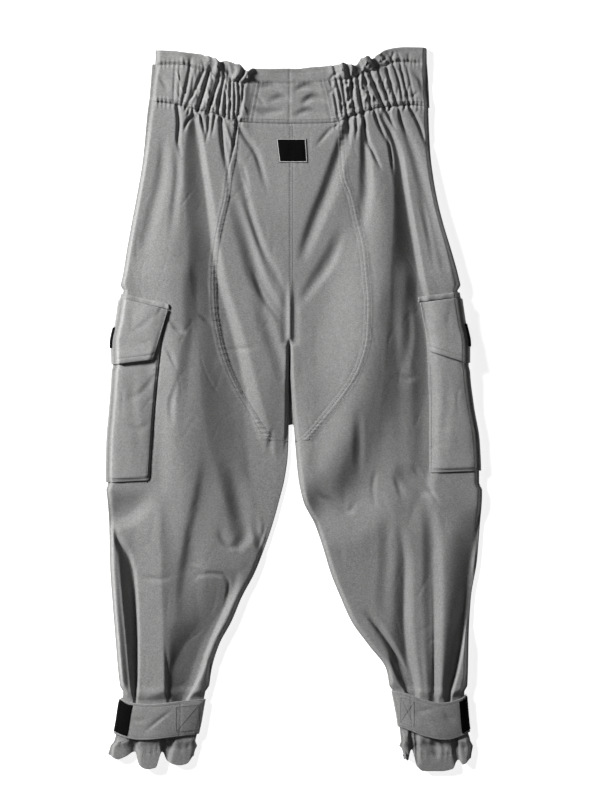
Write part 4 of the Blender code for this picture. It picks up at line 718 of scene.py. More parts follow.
@dataclass
class Relief:
    """Heights of the back layer's upper surface, with every fold, gather, seam and rumple."""

    seed: int = 11
    seam_width: float = 8.0
    fullness: float = 0.85
    band_depth: float = 1.2
    fine_depth: float = 1.5
    loose: tuple[float, float] = (60.0, 80.0)
    spread: tuple[float, ...] = (-26.0, -13.0, 0.0, 13.0, 26.0)
    spread_blur: tuple[float, float] = (0.5, 11.0)
    cuff_start: float = 800.0
    fold_blur: tuple[float, float] = (1.1, 2.0)
    crease_blur: tuple[float, float] = (0.6, 0.8)
    cap_blend: float = 0.8
    edge_ramp: float = 6.0
    least: float = 0.25
    least_blend: float = 0.7
    # Ridges are made lighter: partly wear, partly painted highlight.
    ridge_wear_and_highlight: float = 0.28
    # The band above the waist seam is made lighter: painted light.
    band_painted_light: float = 0.12
    # Two patches on the upper back are made lighter: painted light. Each row of faded gives across, drop, width and
    # height.
    patch_painted_light: float = 0.22
    faded: tuple[tuple[float, ...], ...] = ((-4.0, 170.0, 44.0, 90.0), (72.0, 340.0, 44.0, 90.0))
    crushed_lengths: tuple[tuple[float, float, int], ...] = (
        (-134.0, -58.0, 56), (58.0, 142.0, 72), (-164.0, -134.0, 7), (142.0, 172.0, 7))
    rumple_sizes: tuple[tuple[float, float, float], ...] = ((26.0, 44.0, 0.42), (10.0, 17.0, 0.16), (4.0, 6.5, 0.055))
    short_creases: int = 420
    seat_insets: tuple[float, float] = (1.7, 7.2)
    block_insets: tuple[float, float] = (2.0, 7.5)
    hem_height: float = 22.0
    seat_seam_start: float = 84.0
    centre_start: float = 100.0
    centre_gap: float = 3.2
    elastic_start: tuple[float, float] = (56.0, 14.0)
    band_end: tuple[float, float] = (181.0, 10.0)
    block_seam: tuple[float, float] = (42.0, 99.0)
    block_slant: tuple[float, float] = (45.0, 54.0)
    block_centre: tuple[float, float] = (28.0, 99.0)
    waist_fade: float = 8.0
    rumple_ramp: tuple[float, float] = (70.0, 60.0)
    short_across: tuple[float, float] = (-245.0, 250.0)
    short_drop: tuple[float, float] = (100.0, 945.0)
    heights: Array = field(init=False)
    wear_and_highlight: Array = field(init=False)

    def build(self) -> None:
        """Work out the map of heights and the map of wear, which also holds painted highlight and painted light."""
        lay = LAYOUT
        loose = ease((DROP - self.loose[0]) / self.loose[1])
        raised = blur(np.maximum.reduce([lay.lift(ACROSS, DROP + away, lay.lift_margin) for away in self.spread]),
                      *self.spread_blur)
        base = np.where(DROP < self.cuff_start, raised, lay.lift(ACROSS, DROP, lay.lift_margin)) + lay.stack
        puff = lay.puff(ACROSS, DROP)
        form = base + (1 - loose) * read(BAND_FULLNESS, ACROSS)
        form += self.fullness * loose * read(LEG_FULLNESS, DROP) * puff
        for crease in FOLDS:
            self.press(form, crease)
        form = blur(form, *self.fold_blur)
        for crease in BAND_CREASES:
            self.press(form, crease, self.band_depth)
        for crease in (*self.crushed(), *FINE_CREASES):
            self.press(form, crease, self.fine_depth)
        form = blur(form, *self.crease_blur) + self.rumples() + self.seams()
        form = soft_min(form, self.cap(), self.cap_blend)
        inside = np.minimum(ACROSS - lay.outer(Side.LEFT, DROP), lay.outer(Side.RIGHT, DROP) - ACROSS)
        form = between((base, form), ease((inside + 1.0) / self.edge_ramp))
        self.heights = soft_max(form, base + self.least * (puff + 0.3), self.least_blend)
        # Painted light: the wear map lightens the ridges (partly wear, partly painted highlight), the band above the
        # waist seam and two patches on the upper back.
        faded = sum(np.exp(-((ACROSS - x) / wide) ** 2 - ((DROP - y) / tall) ** 2) for x, y, wide, tall in self.faded)
        waist = 1 - ease((DROP - read(WAIST_SEAM, ACROSS)) / self.waist_fade)
        self.wear_and_highlight = np.clip(self.ridge_wear_and_highlight * ridge(self.heights) + self.patch_painted_light * faded + self.band_painted_light * waist,
                            0.0, 1.0)

    def press(self, heights: Array, crease: Crease, scale: float = 1.0) -> None:
        """Add one crease to a map, in place.

        Args:
            heights: The map to change.
            crease: The crease's line, rises and widths.
            scale: Factor on its rise.
        """
        stops = np.array(crease.points, float)
        chord = np.concatenate([[0.0], np.cumsum(np.hypot(*np.diff(stops[:, :2], axis=0).T))])
        arc = np.linspace(0.0, chord[-1], max(4, int(chord[-1] / 4.0)))
        line = np.stack([curve(chord, stops[:, k], arc) for k in range(5)], axis=1)
        reach = stops[:, 3:].max() + 1.0
        spans = (np.array([line[:, n].min() - reach, line[:, n].max() + reach]) for n in (0, 1))
        (i0, i1), (j0, j1) = (np.clip((span - first) / STEP, 0, size).astype(int) for span, first, size in
                              zip(spans, (ACROSS[0, 0], DROP[0, 0]), heights.shape[::-1]))
        x = np.broadcast_to(ACROSS[:, i0:i1], (j1 - j0, i1 - i0))
        y = np.broadcast_to(DROP[j0:j1], (j1 - j0, i1 - i0))
        away = (x[..., None] - line[:, 0]) ** 2 + (y[..., None] - line[:, 1]) ** 2
        k = np.argmin(away, axis=-1)
        tangent = np.gradient(line[:, :2], axis=0)
        tangent /= np.hypot(*tangent.T)[:, None]
        off_x, off_y = x - line[k, 0], y - line[k, 1]
        along = off_x * tangent[k, 0] + off_y * tangent[k, 1]
        side = off_x * tangent[k, 1] - off_y * tangent[k, 0]
        at = arc[k] + along
        beyond = np.maximum(np.maximum(-at, at - arc[-1]), 0.0)
        rise, left, right = (np.interp(at, arc, line[:, n]) for n in (2, 3, 4))
        share = np.clip(1.0 - np.hypot(side, beyond) / np.where(side < 0, left, right), 0.0, 1.0)
        heights[j0:j1, i0:i1] += scale * rise * crease.profile.shape(share)

    def crushed(self) -> list[Crease]:
        """Give the short slanting creases where the elastic crushes the cloth."""
        rng = np.random.default_rng(self.seed)
        creases = []
        for start, end, count in self.crushed_lengths:
            for _ in range(count):
                across = rng.uniform(start, end)
                drop = rng.uniform(read(FRILL_LINE, across) - 10, read(WAIST_SEAM, across) + 14)
                turn = rng.normal(0.12 * np.sign(-across), 0.42)
                length = rng.uniform(4, 12)
                rise = rng.choice([-1.0, -1.0, 1.0]) * rng.uniform(1.1, 3.2)
                bend = rng.normal(0.0, 1.0)
                creases.append(slash(across, drop, turn, length, rise, bend, rng.uniform(1.7, 3.0, 2)))
        return creases

    def rumples(self) -> Array:
        """Give the small soft rumples and short creases of worn cotton."""
        rng = np.random.default_rng(self.seed + 1)
        total = np.zeros(GRID)
        for across, drop, size in self.rumple_sizes:
            total += size * noise(rng, across, drop)
        for _ in range(self.short_creases):
            across, drop = rng.uniform(*self.short_across), rng.uniform(*self.short_drop)
            turn = rng.normal(0.0, 0.55)
            length = rng.uniform(9, 34)
            width = rng.uniform(2.4, 5.5)
            depth = rng.uniform(0.12, 0.5)
            bend = rng.normal(0.0, 0.12) * length
            self.press(total, slash(across, drop, turn, length, -depth, bend, (width, 0.6 * width)))
        return total * ease((DROP - self.rumple_ramp[0]) / self.rumple_ramp[1])

    def line_offset(self, across: Array, drop: Array) -> tuple[Array, Array]:
        """Measure the map from a line that runs down the garment.

        Args:
            across: The line's across position at each row.
            drop: Where the line starts and ends, as two drops.

        Returns:
            The offset to the right of the line and the distance run along it.
        """
        lean = np.gradient(across[:, 0], STEP)[:, None]
        offset = (ACROSS - across) / np.sqrt(1 + lean ** 2)
        run = np.cumsum(np.sqrt(1 + lean ** 2), axis=0) * STEP
        inside = (DROP >= drop[0]) & (DROP <= drop[1])
        return np.where(inside, offset, 1000.0), np.broadcast_to(run, offset.shape)

    def pucker(self, offset: Array, run: Array, reach: float, pitch: float, phase: float) -> Array:
        """Give the ripples that a line of stitches draws into the cloth beside it."""
        wave = np.sin(2 * np.pi * run / pitch + 1.7 * np.sin(run / 9.0 + phase) + phase)
        return wave * bell(offset, reach)

    def groove(self, offset: Array, depth: float, width: float = 0.9) -> Array:
        """Give the groove that a line of stitches presses into the cloth."""
        return -depth * bell(offset, width)

    def seams(self) -> Array:
        """Give the raised laps, stitch grooves and puckers of every seam."""
        return self.leg_seams() + self.waist_seams() + self.edge_stitches()

    def leg_seams(self) -> Array:
        """Give the lapped seat seams and the centre seam, which stands up below the seat."""
        total = np.zeros(GRID)
        width = self.seam_width
        for side in Side:
            offset, run = self.line_offset(LAYOUT.seat(side, DROP), (self.seat_seam_start, LAYOUT.seat_end - 3))
            out = offset * side.value
            lap = 0.9 * (1 - ease((out - width) / 2.5)) * ease((out + 0.6) / 0.9)
            marks = sum(self.groove(out - inset, 0.6, 0.8) for inset in self.seat_insets)
            ripple = 0.42 * self.pucker(out - 0.5 * width, run, 3.2, 7.0, side.value)
            total += np.where(np.abs(offset) < 30, lap - 0.25 * bell(out + 2.0, 1.6) + marks + ripple, 0.0)
        offset, run = self.line_offset(np.zeros_like(DROP), (self.centre_start, LAYOUT.crotch))
        sewn = self.groove(offset, 0.35) + self.groove(offset - self.centre_gap, 0.25)
        total += sewn + 0.1 * self.pucker(offset, run, 3, 7, 0)
        crown = 1.4 * bell(offset, 2.2) - 1.8 * bell(np.abs(offset) - 6.5, 3.2)
        return total + ease((DROP - 300.0) / 50.0) * crown

    def waist_seams(self) -> Array:
        """Give the waist seam and the frill line, deep where the elastic gathers them, and the block's stitches."""
        gathered = ease((np.abs(ACROSS) - self.elastic_start[0]) / self.elastic_start[1])
        edges = ease((self.band_end[0] - np.abs(ACROSS)) / self.band_end[1])
        waist = DROP - read(WAIST_SEAM, ACROSS)
        total = 0.7 * ease(-waist / 1.2) * ease((waist + 9.0) / 3.0)
        total -= (0.5 + 1.6 * gathered) * edges * bell(waist, 1.7)
        total += (0.15 + 0.5 * gathered) * self.pucker(waist, ACROSS, 5.0, 6.5, 0.4)
        line = DROP - read(FRILL_LINE, ACROSS)
        total -= (0.6 + 1.9 * gathered) * edges * bell(line, 1.5)
        total += (0.12 + 0.45 * gathered) * self.pucker(line, ACROSS, 4.0, 5.6, 1.3)
        for ends, side in ((BLOCK_LEFT, Side.LEFT), (BLOCK_RIGHT, Side.RIGHT)):
            slant = (DROP - self.block_slant[0]) / self.block_slant[1]
            offset = self.line_offset(between(ends, slant), self.block_seam)[0]
            total += sum(self.groove(-offset * side.value - inset, 0.6, 0.8) for inset in self.block_insets)
        return total + self.groove(self.line_offset(0 * DROP - 0.5, self.block_centre)[0], 0.7)

    def edge_stitches(self) -> Array:
        """Give the grooves along the pocket bags' inner edges and the hem's line of stitches."""
        hem = DROP - np.where(ACROSS < 0, read(HEM_LEFT, ACROSS), read(HEM_RIGHT, ACROSS)) + self.hem_height
        total = self.groove(hem, 0.4, 1.0) + 0.25 * self.pucker(hem, ACROSS, 5.0, 8.0, 0.7)
        for pocket in POCKETS:
            beside = (read(pocket.bag_edge, DROP) - ACROSS) * pocket.side.value - 1.4
            total += window(DROP, (340.0, 6.0), (pocket.bag_bottom[0] + 2, 4.0)) * self.groove(beside, 1.3, 1.2)
        return total

    def cap(self) -> Array:
        """Give the greatest height of the legs, held down under each strap."""
        cap = np.full(GRID, 1000.0)
        for strap in STRAPS:
            above = LAYOUT.strap_drop(strap, ACROSS, 0.0) - DROP
            below = DROP - LAYOUT.strap_drop(strap, ACROSS, 1.0)
            outside = np.maximum(np.maximum(above, below) - 5.0, 0.0)
            held = LAYOUT.strap_under(strap.side, ACROSS, DROP) - 1.0 + 0.5 * outside
            cap = np.where(ACROSS * strap.side.value > 0, held, cap)
        return cap

    def at(self, across: Array, drop: Array) -> Array:
        """Give the height of the cloth at any points."""
        return sample(self.heights, across, drop)


def show(name: str, data: bpy.types.ID) -> bpy.types.Object:
    """Put a new object with this data in the scene."""
    made = bpy.data.objects.new(name, data)
    bpy.context.scene.collection.objects.link(made)
    return made


def mark_wear_and_highlight(mesh: bpy.types.Mesh, wear_and_highlight: Array) -> None:
    """Store the wear, with its painted highlight and painted light, at each point of a mesh."""
    tone = mesh.attributes.new("wear_and_highlight", "FLOAT", "POINT")
    tone.data.foreach_set("value", wear_and_highlight.astype(np.float32))


@dataclass
class Shell:
    """A grid of points in millimetres that becomes a thin shell of cloth."""

    points: Array
    wear_and_highlight: Array
    closed: bool = False
    up: Array = field(init=False)

    def __post_init__(self) -> None:
        """Work out the surface's direction at each point."""
        down, along = np.gradient(self.points, axis=(0, 1))
        normal = np.cross(along, down)
        self.up = normal / np.maximum(np.linalg.norm(normal, axis=-1, keepdims=True), 1e-9)

    def lip(self, edge: str, thickness: float = 1.2, turn: float = 5.0, facing: float = 1.0) -> "Shell":
        """Turn one edge over into a rounded lip with cloth behind it.

        Args:
            edge: "top", "bottom", "first" or "last": a row or a column.
            thickness: Thickness that the lip shows.
            turn: How far the cloth runs back under.
            facing: 1, or -1 where the grid's direction points inward.

        Returns:
            This shell with the lip's points added.
        """
        axis = 0 if edge in ("top", "bottom") else 1
        start = edge in ("top", "first")
        end, before = (0, 1) if start else (-1, -2)
        pick = (lambda a, n: a[n] if axis == 0 else a[:, n])
        here, back = pick(self.points, end), pick(self.points, before)
        out = here - back
        out /= np.maximum(np.linalg.norm(out, axis=-1, keepdims=True), 1e-9)
        kept = pick(self.up, end)
        up = facing * kept
        up = up - (up * out).sum(axis=-1, keepdims=True) * out
        up /= np.maximum(np.linalg.norm(up, axis=-1, keepdims=True), 1e-9)
        ring = [here + out * r * 0.5 * thickness - up * d * thickness
                for r, d in ((0.6, 0.12), (1.0, 0.5), (0.6, 0.88))] + [here - out * turn - up * thickness]
        worn = pick(self.wear_and_highlight, end)

        def joined(values: Array, added: list[Array]) -> Array:
            """Add the lip's values past the edge."""
            lines = np.stack(added[::-1] if start else added, axis=axis)
            return np.concatenate((lines, values) if start else (values, lines), axis=axis)

        self.points = joined(self.points, ring)
        self.wear_and_highlight = joined(self.wear_and_highlight, [worn + 0.35] * 3 + [worn * 0])
        self.up = joined(self.up, [kept] * 4)
        return self

    def lips(self, thickness: float, turn: float, facing: float, edges: Sequence[str] = EDGES) -> "Shell":
        """Turn several edges over into like lips."""
        for edge in edges:
            self.lip(edge, thickness, turn, facing)
        return self

    def piece(self, name: str, material: bpy.types.Material, second: Optional[bpy.types.Material] = None,
              chosen: Optional[Array] = None) -> bpy.types.Object:
        """Make the mesh object.

        Args:
            name: The piece's name.
            material: Its finish.
            second: A second finish for some cells.
            chosen: True at each cell that takes the second finish.

        Returns:
            The new object, in the scene.
        """
        rows, columns = self.points.shape[:2]
        index = np.arange(rows * columns).reshape(rows, columns)
        after = np.roll(index, -1, axis=1) if self.closed else index[:, 1:]
        before = index if self.closed else index[:, :-1]
        faces = np.stack([before[:-1], before[1:], after[1:], after[:-1]], axis=-1).reshape(-1, 4)
        mesh = bpy.data.meshes.new(name)
        mesh.vertices.add(rows * columns)
        mesh.vertices.foreach_set("co", (self.points.reshape(-1) * METRE).astype(np.float32))
        mesh.loops.add(faces.size)
        mesh.loops.foreach_set("vertex_index", faces.reshape(-1).astype(np.int32))
        mesh.polygons.add(len(faces))
        mesh.polygons.foreach_set("loop_start", np.arange(0, faces.size, 4, dtype=np.int32))
        mesh.polygons.foreach_set("use_smooth", np.ones(len(faces), bool))
        mesh.update(calc_edges=True)
        mesh.validate()
        mark_wear_and_highlight(mesh, np.clip(self.wear_and_highlight, 0, 1).reshape(-1))
        mesh.materials.append(material)
        if second is not None and chosen is not None:
            mesh.materials.append(second)
            mesh.polygons.foreach_set("material_index", chosen.reshape(-1).astype(np.int32))
        return show(name, mesh)


def spaced(first: Array, last: Array, near: Sequence[float], far: Sequence[float], count: int) -> Array:
    """Give across positions that stand close together at both edges.

    Args:
        first: Across position of each row's first edge, as a column.
        last: The same for its last edge.
        near: Rising distances of the points by the first edge.
        far: Falling distances of the points by the last edge.
        count: Number of even points between them.

    Returns:
        A row of positions for each row.
    """
    sign = np.sign(last - first)
    width = np.abs(last - first)
    squeeze = np.minimum(1.0, 0.7 * width / (near[-1] + far[0]))
    start, end = np.array(near)[None, :] * squeeze, width - np.array(far)[None, :] * squeeze
    share = np.linspace(0, 1, count + 2)[None, 1:-1]
    middle = start[:, -1:] + (end[:, :1] - start[:, -1:]) * share
    return first + sign * np.concatenate([start, middle, end], axis=1)


FINE_EDGE = (0.0, 0.5, 1.1, 1.7, 2.4, 3.2, 4.2, 5.3, 6.3, 7.2, 8.0, 9.0, 10.5, 12.5)
PLAIN_EDGE = (4.5, 3.0, 2.0, 1.2, 0.6, 0.0)
SIDE_EDGE = (1.5, 0.0)


def group(name: str, inputs: Sequence[tuple[str, str, object]],
          outputs: Sequence[tuple[str, str]]) -> bpy.types.NodeTree:
    """Make a shader node group with named sockets.

    Args:
        name: The group's name.
        inputs: Name, socket type and default of each input.
        outputs: Name and socket type of each output.

    Returns:
        The group, with its input and output nodes named "in" and "out".
    """
    tree = bpy.data.node_groups.new(name, "ShaderNodeTree")
    for label, kind, value in inputs:
        made = tree.interface.new_socket(name=label, in_out="INPUT", socket_type=kind)
        if value is not None:
            made.default_value = value
    for label, kind in outputs:
        tree.interface.new_socket(name=label, in_out="OUTPUT", socket_type=kind)
    tree.nodes.new("NodeGroupInput").name = "in"
    tree.nodes.new("NodeGroupOutput").name = "out"
    return tree


@dataclass
class Wiring:
    """Short ways to add and join nodes in one tree."""

    tree: bpy.types.NodeTree

    def add(self, kind: str, values: Optional[dict[object, object]] = None, **settings: object) -> bpy.types.Node:
        """Add a node with settings, and link or set its inputs."""
        node = self.tree.nodes.new("ShaderNode" + kind)
        for key, value in settings.items():
            setattr(node, key, value)
        self.feed(node, values or {})
        return node

    def feed(self, node: bpy.types.Node, values: dict[object, object]) -> None:
        """Link or set a node's inputs."""
        for key, value in values.items():
            if isinstance(value, bpy.types.NodeSocket):
                self.tree.links.new(value, node.inputs[key])
            else:
                node.inputs[key].default_value = value

    def math(self, operation: str, first: object, second: object = 0.0) -> bpy.types.NodeSocket:
        """Add a Math node and give its result."""
        return self.add("Math", {0: first, 1: second}, operation=operation).outputs[0]

    def mix(self, share: object, first: object, second: object) -> bpy.types.NodeSocket:
        """Add a colour Mix node and give its result."""
        return self.add("Mix", {0: share, 6: first, 7: second}, data_type="RGBA").outputs[2]


class Effects:
    """The shared effects, each a node group built once."""

    def __init__(self) -> None:
        """Build the groups."""
        self.weave = self.twill_weave()
        self.tone = self.cloth_tone()
        self.edge = self.edge_wear_and_highlight()

    def twill_weave(self) -> bpy.types.NodeTree:
        """Build the slanting ribs and threads of a twill.

        Returns:
            The node group.
        """
        tree = group("Twill weave", (("Place", "NodeSocketVector", None), ("Rib", "NodeSocketFloat", 0.0011),
                                     ("Depth", "NodeSocketFloat", 1.0)),
                     (("Height", "NodeSocketFloat"), ("Rib mask", "NodeSocketFloat")))
        w = Wiring(tree)
        given = tree.nodes["in"].outputs
        cut = w.add("SeparateXYZ", {0: given["Place"]})
        turn = w.math("DIVIDE", 6.2832, given["Rib"])
        slant = w.math("ADD", w.math("MULTIPLY", cut.outputs[0], 0.62),
                       w.math("ADD", w.math("MULTIPLY", cut.outputs[1], 0.78), w.math("MULTIPLY", cut.outputs[2], 0.7)))
        cross = w.math("SUBTRACT", w.math("MULTIPLY", cut.outputs[0], 0.9), w.math("MULTIPLY", cut.outputs[1], 0.5))
        slub = w.add("TexNoise", {"Vector": given["Place"], "Scale": 650.0, "Detail": 2.0})
        wander = w.math("MULTIPLY", slub.outputs[0], 1.6)
        rib = w.math("SINE", w.math("ADD", w.math("MULTIPLY", slant, turn), wander))
        thread = w.math("SINE", w.math("ADD", w.math("MULTIPLY", cross, w.math("MULTIPLY", turn, 1.7)), wander))
        height = w.math("ADD", w.math("MULTIPLY", rib, 0.5), w.math("MULTIPLY", thread, 0.22))
        height = w.math("ADD", height, w.math("MULTIPLY", slub.outputs[0], 0.7))
        w.feed(tree.nodes["out"], {"Height": w.math("MULTIPLY", height, given["Depth"]),
                                   "Rib mask": w.add("MapRange", {0: rib, 1: -1.0, 2: 1.0}).outputs[0]})
        return tree

    def cloth_tone(self) -> bpy.types.NodeTree:
        """Build the uneven tone of dyed cotton: broad patches and fine flecks.

        Returns:
            The node group.
        """
        tree = group("Cloth tone", (("Place", "NodeSocketVector", None), ("Patch", "NodeSocketFloat", 9.0),
                                    ("Grain", "NodeSocketFloat", 1150.0),
                                    ("Base", "NodeSocketColor", (0.3, 0.3, 0.3, 1.0)),
                                    ("Faded", "NodeSocketColor", (0.36, 0.36, 0.36, 1.0))),
                     (("Colour", "NodeSocketColor"), ("Roughness", "NodeSocketFloat"), ("Grain", "NodeSocketFloat")))
        w = Wiring(tree)
        given = tree.nodes["in"].outputs
        broad = w.add("TexNoise", {"Vector": given["Place"], "Scale": given["Patch"], "Detail": 5.0})
        weft = w.add("Mapping", {"Vector": given["Place"], "Scale": (0.45, 1.0, 1.0)})
        fleck = w.add("TexNoise", {"Vector": weft.outputs[0], "Scale": given["Grain"], "Detail": 3.0, "Roughness": 0.7})
        coarse = w.add("TexNoise", {"Vector": given["Place"], "Scale": w.math("MULTIPLY", given["Grain"], 0.32),
                                    "Detail": 2.0})
        grain = w.math("ADD", w.math("MULTIPLY", fleck.outputs[0], 0.78), w.math("MULTIPLY", coarse.outputs[0], 0.22))
        share = w.math("ADD", w.math("MULTIPLY", broad.outputs[0], 0.12), w.math("MULTIPLY", grain, 0.88))
        share = w.add("MapRange", {0: share, 1: 0.38, 2: 0.62}).outputs[0]
        gloss = w.add("MapRange", {0: broad.outputs[0], 1: 0.3, 2: 0.7, 3: 0.68, 4: 0.84}).outputs[0]
        w.feed(tree.nodes["out"], {"Colour": w.mix(share, given["Base"], given["Faded"]), "Roughness": gloss,
                                   "Grain": grain})
        return tree

    def edge_wear_and_highlight(self) -> bpy.types.NodeTree:
        """Build the pale colour along ridges, laps and turned edges: wear on the turned edges, and partly wear, partly
        painted highlight on the ridges and laps.

        Returns:
            The node group.
        """
        tree = group("Edge wear", (("Place", "NodeSocketVector", None), ("Ridge", "NodeSocketFloat", 0.0),
                                   ("Amount", "NodeSocketFloat", 0.5),
                                   ("Colour", "NodeSocketColor", (0.3, 0.3, 0.3, 1.0)),
                                   ("Worn", "NodeSocketColor", (0.42, 0.42, 0.42, 1.0))),
                     (("Colour", "NodeSocketColor"), ("Mask", "NodeSocketFloat")))
        w = Wiring(tree)
        given = tree.nodes["in"].outputs
        spots = w.add("TexNoise", {"Vector": given["Place"], "Scale": 240.0, "Detail": 3.0})
        broken = w.add("MapRange", {0: spots.outputs[0], 1: 0.35, 2: 0.62}).outputs[0]
        mask = w.math("MULTIPLY", w.math("MULTIPLY", given["Ridge"], given["Amount"]),
                      w.math("ADD", w.math("MULTIPLY", broken, 0.6), 0.4))
        mask = w.math("MINIMUM", mask, 1.0)
        w.feed(tree.nodes["out"], {"Colour": w.mix(mask, given["Colour"], given["Worn"]), "Mask": mask})
        return tree


@dataclass(frozen=True)
class ClothFinish:
    """A woven cloth: its colours, weave and gloss."""

    name: str
    base: tuple[float, float, float]
    faded: tuple[float, float, float]
    # The pale colour that the wear map mixes in: worn edges, painted highlight on ridges and painted light on the band
    # and two patches.
    worn: tuple[float, float, float]
    rib: float = 0.0011
    relief: float = 0.00013
    wear_and_highlight: float = 0.7
    sheen: float = 0.06
    specular: float = 0.3

    def material(self, effects: Effects) -> bpy.types.Material:
        """Build the material.

        Args:
            effects: The shared node groups.

        Returns:
            The material.
        """
        made = bpy.data.materials.new(self.name)
        made.use_nodes = True
        w = Wiring(made.node_tree)
        where = w.add("TexCoord").outputs["Object"]
        weave = w.add("Group", {"Place": where, "Rib": self.rib}, node_tree=effects.weave)
        tone = w.add("Group", {"Place": where, "Base": (*self.base, 1.0), "Faded": (*self.faded, 1.0)},
                     node_tree=effects.tone)
        # The wear attribute makes the colour lighter: wear on turned edges, painted highlight on ridges, painted light
        # on the band and two patches.
        marks = w.add("Attribute", attribute_name="wear_and_highlight", attribute_type="GEOMETRY")
        edge = w.add("Group", {"Place": where, "Ridge": marks.outputs["Fac"], "Colour": tone.outputs["Colour"],
                               "Amount": self.wear_and_highlight, "Worn": (*self.worn, 1.0)}, node_tree=effects.edge)
        bump = w.add("Bump", {"Strength": 0.6, "Distance": self.relief, "Height": weave.outputs["Height"]})
        w.feed(made.node_tree.nodes["Principled BSDF"], {
            "Base Color": edge.outputs["Colour"], "Roughness": tone.outputs["Roughness"],
            "Normal": bump.outputs["Normal"], "Sheen Weight": self.sheen, "Sheen Roughness": 0.45,
            "Specular IOR Level": self.specular})
        return made


@dataclass(frozen=True)
class FloorFinish:
    """Plain pale panel under the garment, faintly lit from behind as a light table is."""

    colour: tuple[float, float, float] = (0.93, 0.93, 0.93)
    glow: float = 0.8

    def material(self) -> bpy.types.Material:
        """Build the material, with a faint unevenness."""
        made = bpy.data.materials.new("pale_floor")
        made.use_nodes = True
        w = Wiring(made.node_tree)
        where = w.add("TexCoord").outputs["Object"]
        noise = w.add("TexNoise", {"Vector": where, "Scale": 3.0, "Detail": 2.0})
        low = tuple(0.985 * c for c in self.colour)
        w.feed(made.node_tree.nodes["Principled BSDF"], {
            "Base Color": w.mix(noise.outputs[0], (*low, 1.0), (*self.colour, 1.0)), "Roughness": 0.9,
            "Specular IOR Level": 0.1, "Emission Color": (1.0, 1.0, 1.0, 1.0), "Emission Strength": self.glow})
        return made


# The third colour of each finish is what the wear map mixes in: pale wear and painted highlight.
TWILL = ClothFinish("grey_twill", (0.149, 0.149, 0.147), (0.286, 0.286, 0.283), (0.42, 0.42, 0.416))
THREAD = ClothFinish("grey_thread", (0.17, 0.17, 0.168), (0.22, 0.22, 0.218), (0.3, 0.3, 0.297), rib=0.0006)
TAPE = ClothFinish("black_tape", (0.0012, 0.0012, 0.0012), (0.004, 0.004, 0.004), (0.02, 0.02, 0.02), rib=0.0007,
                   relief=0.00005, wear_and_highlight=0.4, sheen=0.0, specular=0.04)
BORDER = ClothFinish("pale_border", (0.5, 0.5, 0.49), (0.58, 0.58, 0.57), (0.66, 0.66, 0.65), rib=0.0007)


def on_map(heights: Array, across: Array, drop: Array, above: float = 0.15) -> Array:
    """Give a path of points just above a map."""
    return place(across, drop, sample(heights, across, drop) + above)


@dataclass
class Workroom:
    """What every sub-assembly is made with: the relief and the finishes."""

    relief: Relief
    twill: bpy.types.Material
    thread: bpy.types.Material
    tape: bpy.types.Material
    border: bpy.types.Material
    stitch_places: tuple[float, ...] = (0.0, 0.22, 0.56, 0.78)
    stitch_sizes: tuple[float, ...] = (0.12, 0.3, 0.3, 0.12)
    stitch_rises: tuple[float, ...] = (-0.2, 0.12, 0.12, -0.2)

    def settle(self, piece: bpy.types.Object, slot: str, nodes: Sequence[str] = ()) -> bpy.types.Object:
        """Make a piece ride on the garment's body, and stand for its solids."""
        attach(piece, "root")
        if nodes:
            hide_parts(*nodes)
        log.info("%s: %d faces", piece.name, len(piece.data.polygons))
        return piece

    def cloth(self, shell: Shell, name: str, node: str) -> bpy.types.Object:
        """Make a shell a piece of twill that stands for one solid."""
        return self.settle(shell.piece(name, self.twill), "twill", [node])

    def dark(self, shell: Shell, name: str, node: str) -> bpy.types.Object:
        """Make a shell a bare dark patch that stands for one solid."""
        return self.settle(shell.piece(name, self.tape), "label", [node])

    def stitches(self, name: str, paths: Sequence[Array], pitch: float = 3.2) -> bpy.types.Object:
        """Sew lines of thread along paths of points.

        Args:
            name: The piece's name.
            paths: Points in millimetres in the frame, one array for each line.
            pitch: Distance from one stitch to the next.

        Returns:
            One object with all the stitches.
        """
        points, faces = [], []
        ring = np.radians([0, 90, 180, 270])
        for path in paths:
            step = np.linalg.norm(np.diff(path, axis=0), axis=1)
            run = np.concatenate([[0.0], np.cumsum(step)])
            for start in np.arange(0.4, run[-1] - 0.75 * pitch, pitch):
                at = start + pitch * np.array(self.stitch_places)
                spine = np.stack([np.interp(at, run, path[:, n]) for n in range(3)], axis=1)
                along = spine[-1] - spine[0]
                length = np.linalg.norm(along)
                if length < 0.3 * pitch:
                    continue
                along /= length
                beside = np.cross(along, (0.0, 0.0, 1.0))
                beside /= max(np.linalg.norm(beside), 1e-6)
                above = np.cross(beside, along)
                first = len(points)
                for centre, size, rise in zip(spine, self.stitch_sizes, self.stitch_rises):
                    for angle in ring:
                        points.append(centre + above * (rise + size * np.cos(angle)) + beside * size * np.sin(angle))
                for r in range(3):
                    for c in range(4):
                        a, b = first + 4 * r + c, first + 4 * r + (c + 1) % 4
                        faces.append((a, b, b + 4, a + 4))
                faces += [(first + 3, first + 2, first + 1, first), tuple(first + 12 + c for c in range(4))]
        mesh = bpy.data.meshes.new(name)
        mesh.from_pydata((np.array(points) * METRE).tolist(), [], faces)
        mesh.shade_smooth()
        mesh.materials.append(self.thread)
        mark_wear_and_highlight(mesh, np.full(len(points), 0.2))
        return self.settle(show(name, mesh), "twill")

    def on_cloth(self, across: Array, drop: Array) -> Array:
        """Give a path of points on the back layer."""
        return on_map(self.relief.heights, across, drop)

    def follow(self, across: Array, drop: Array) -> Shell:
        """Give the shell that follows the back layer."""
        return Shell(place(across, drop, self.relief.at(across, drop)), sample(self.relief.wear_and_highlight, across, drop))


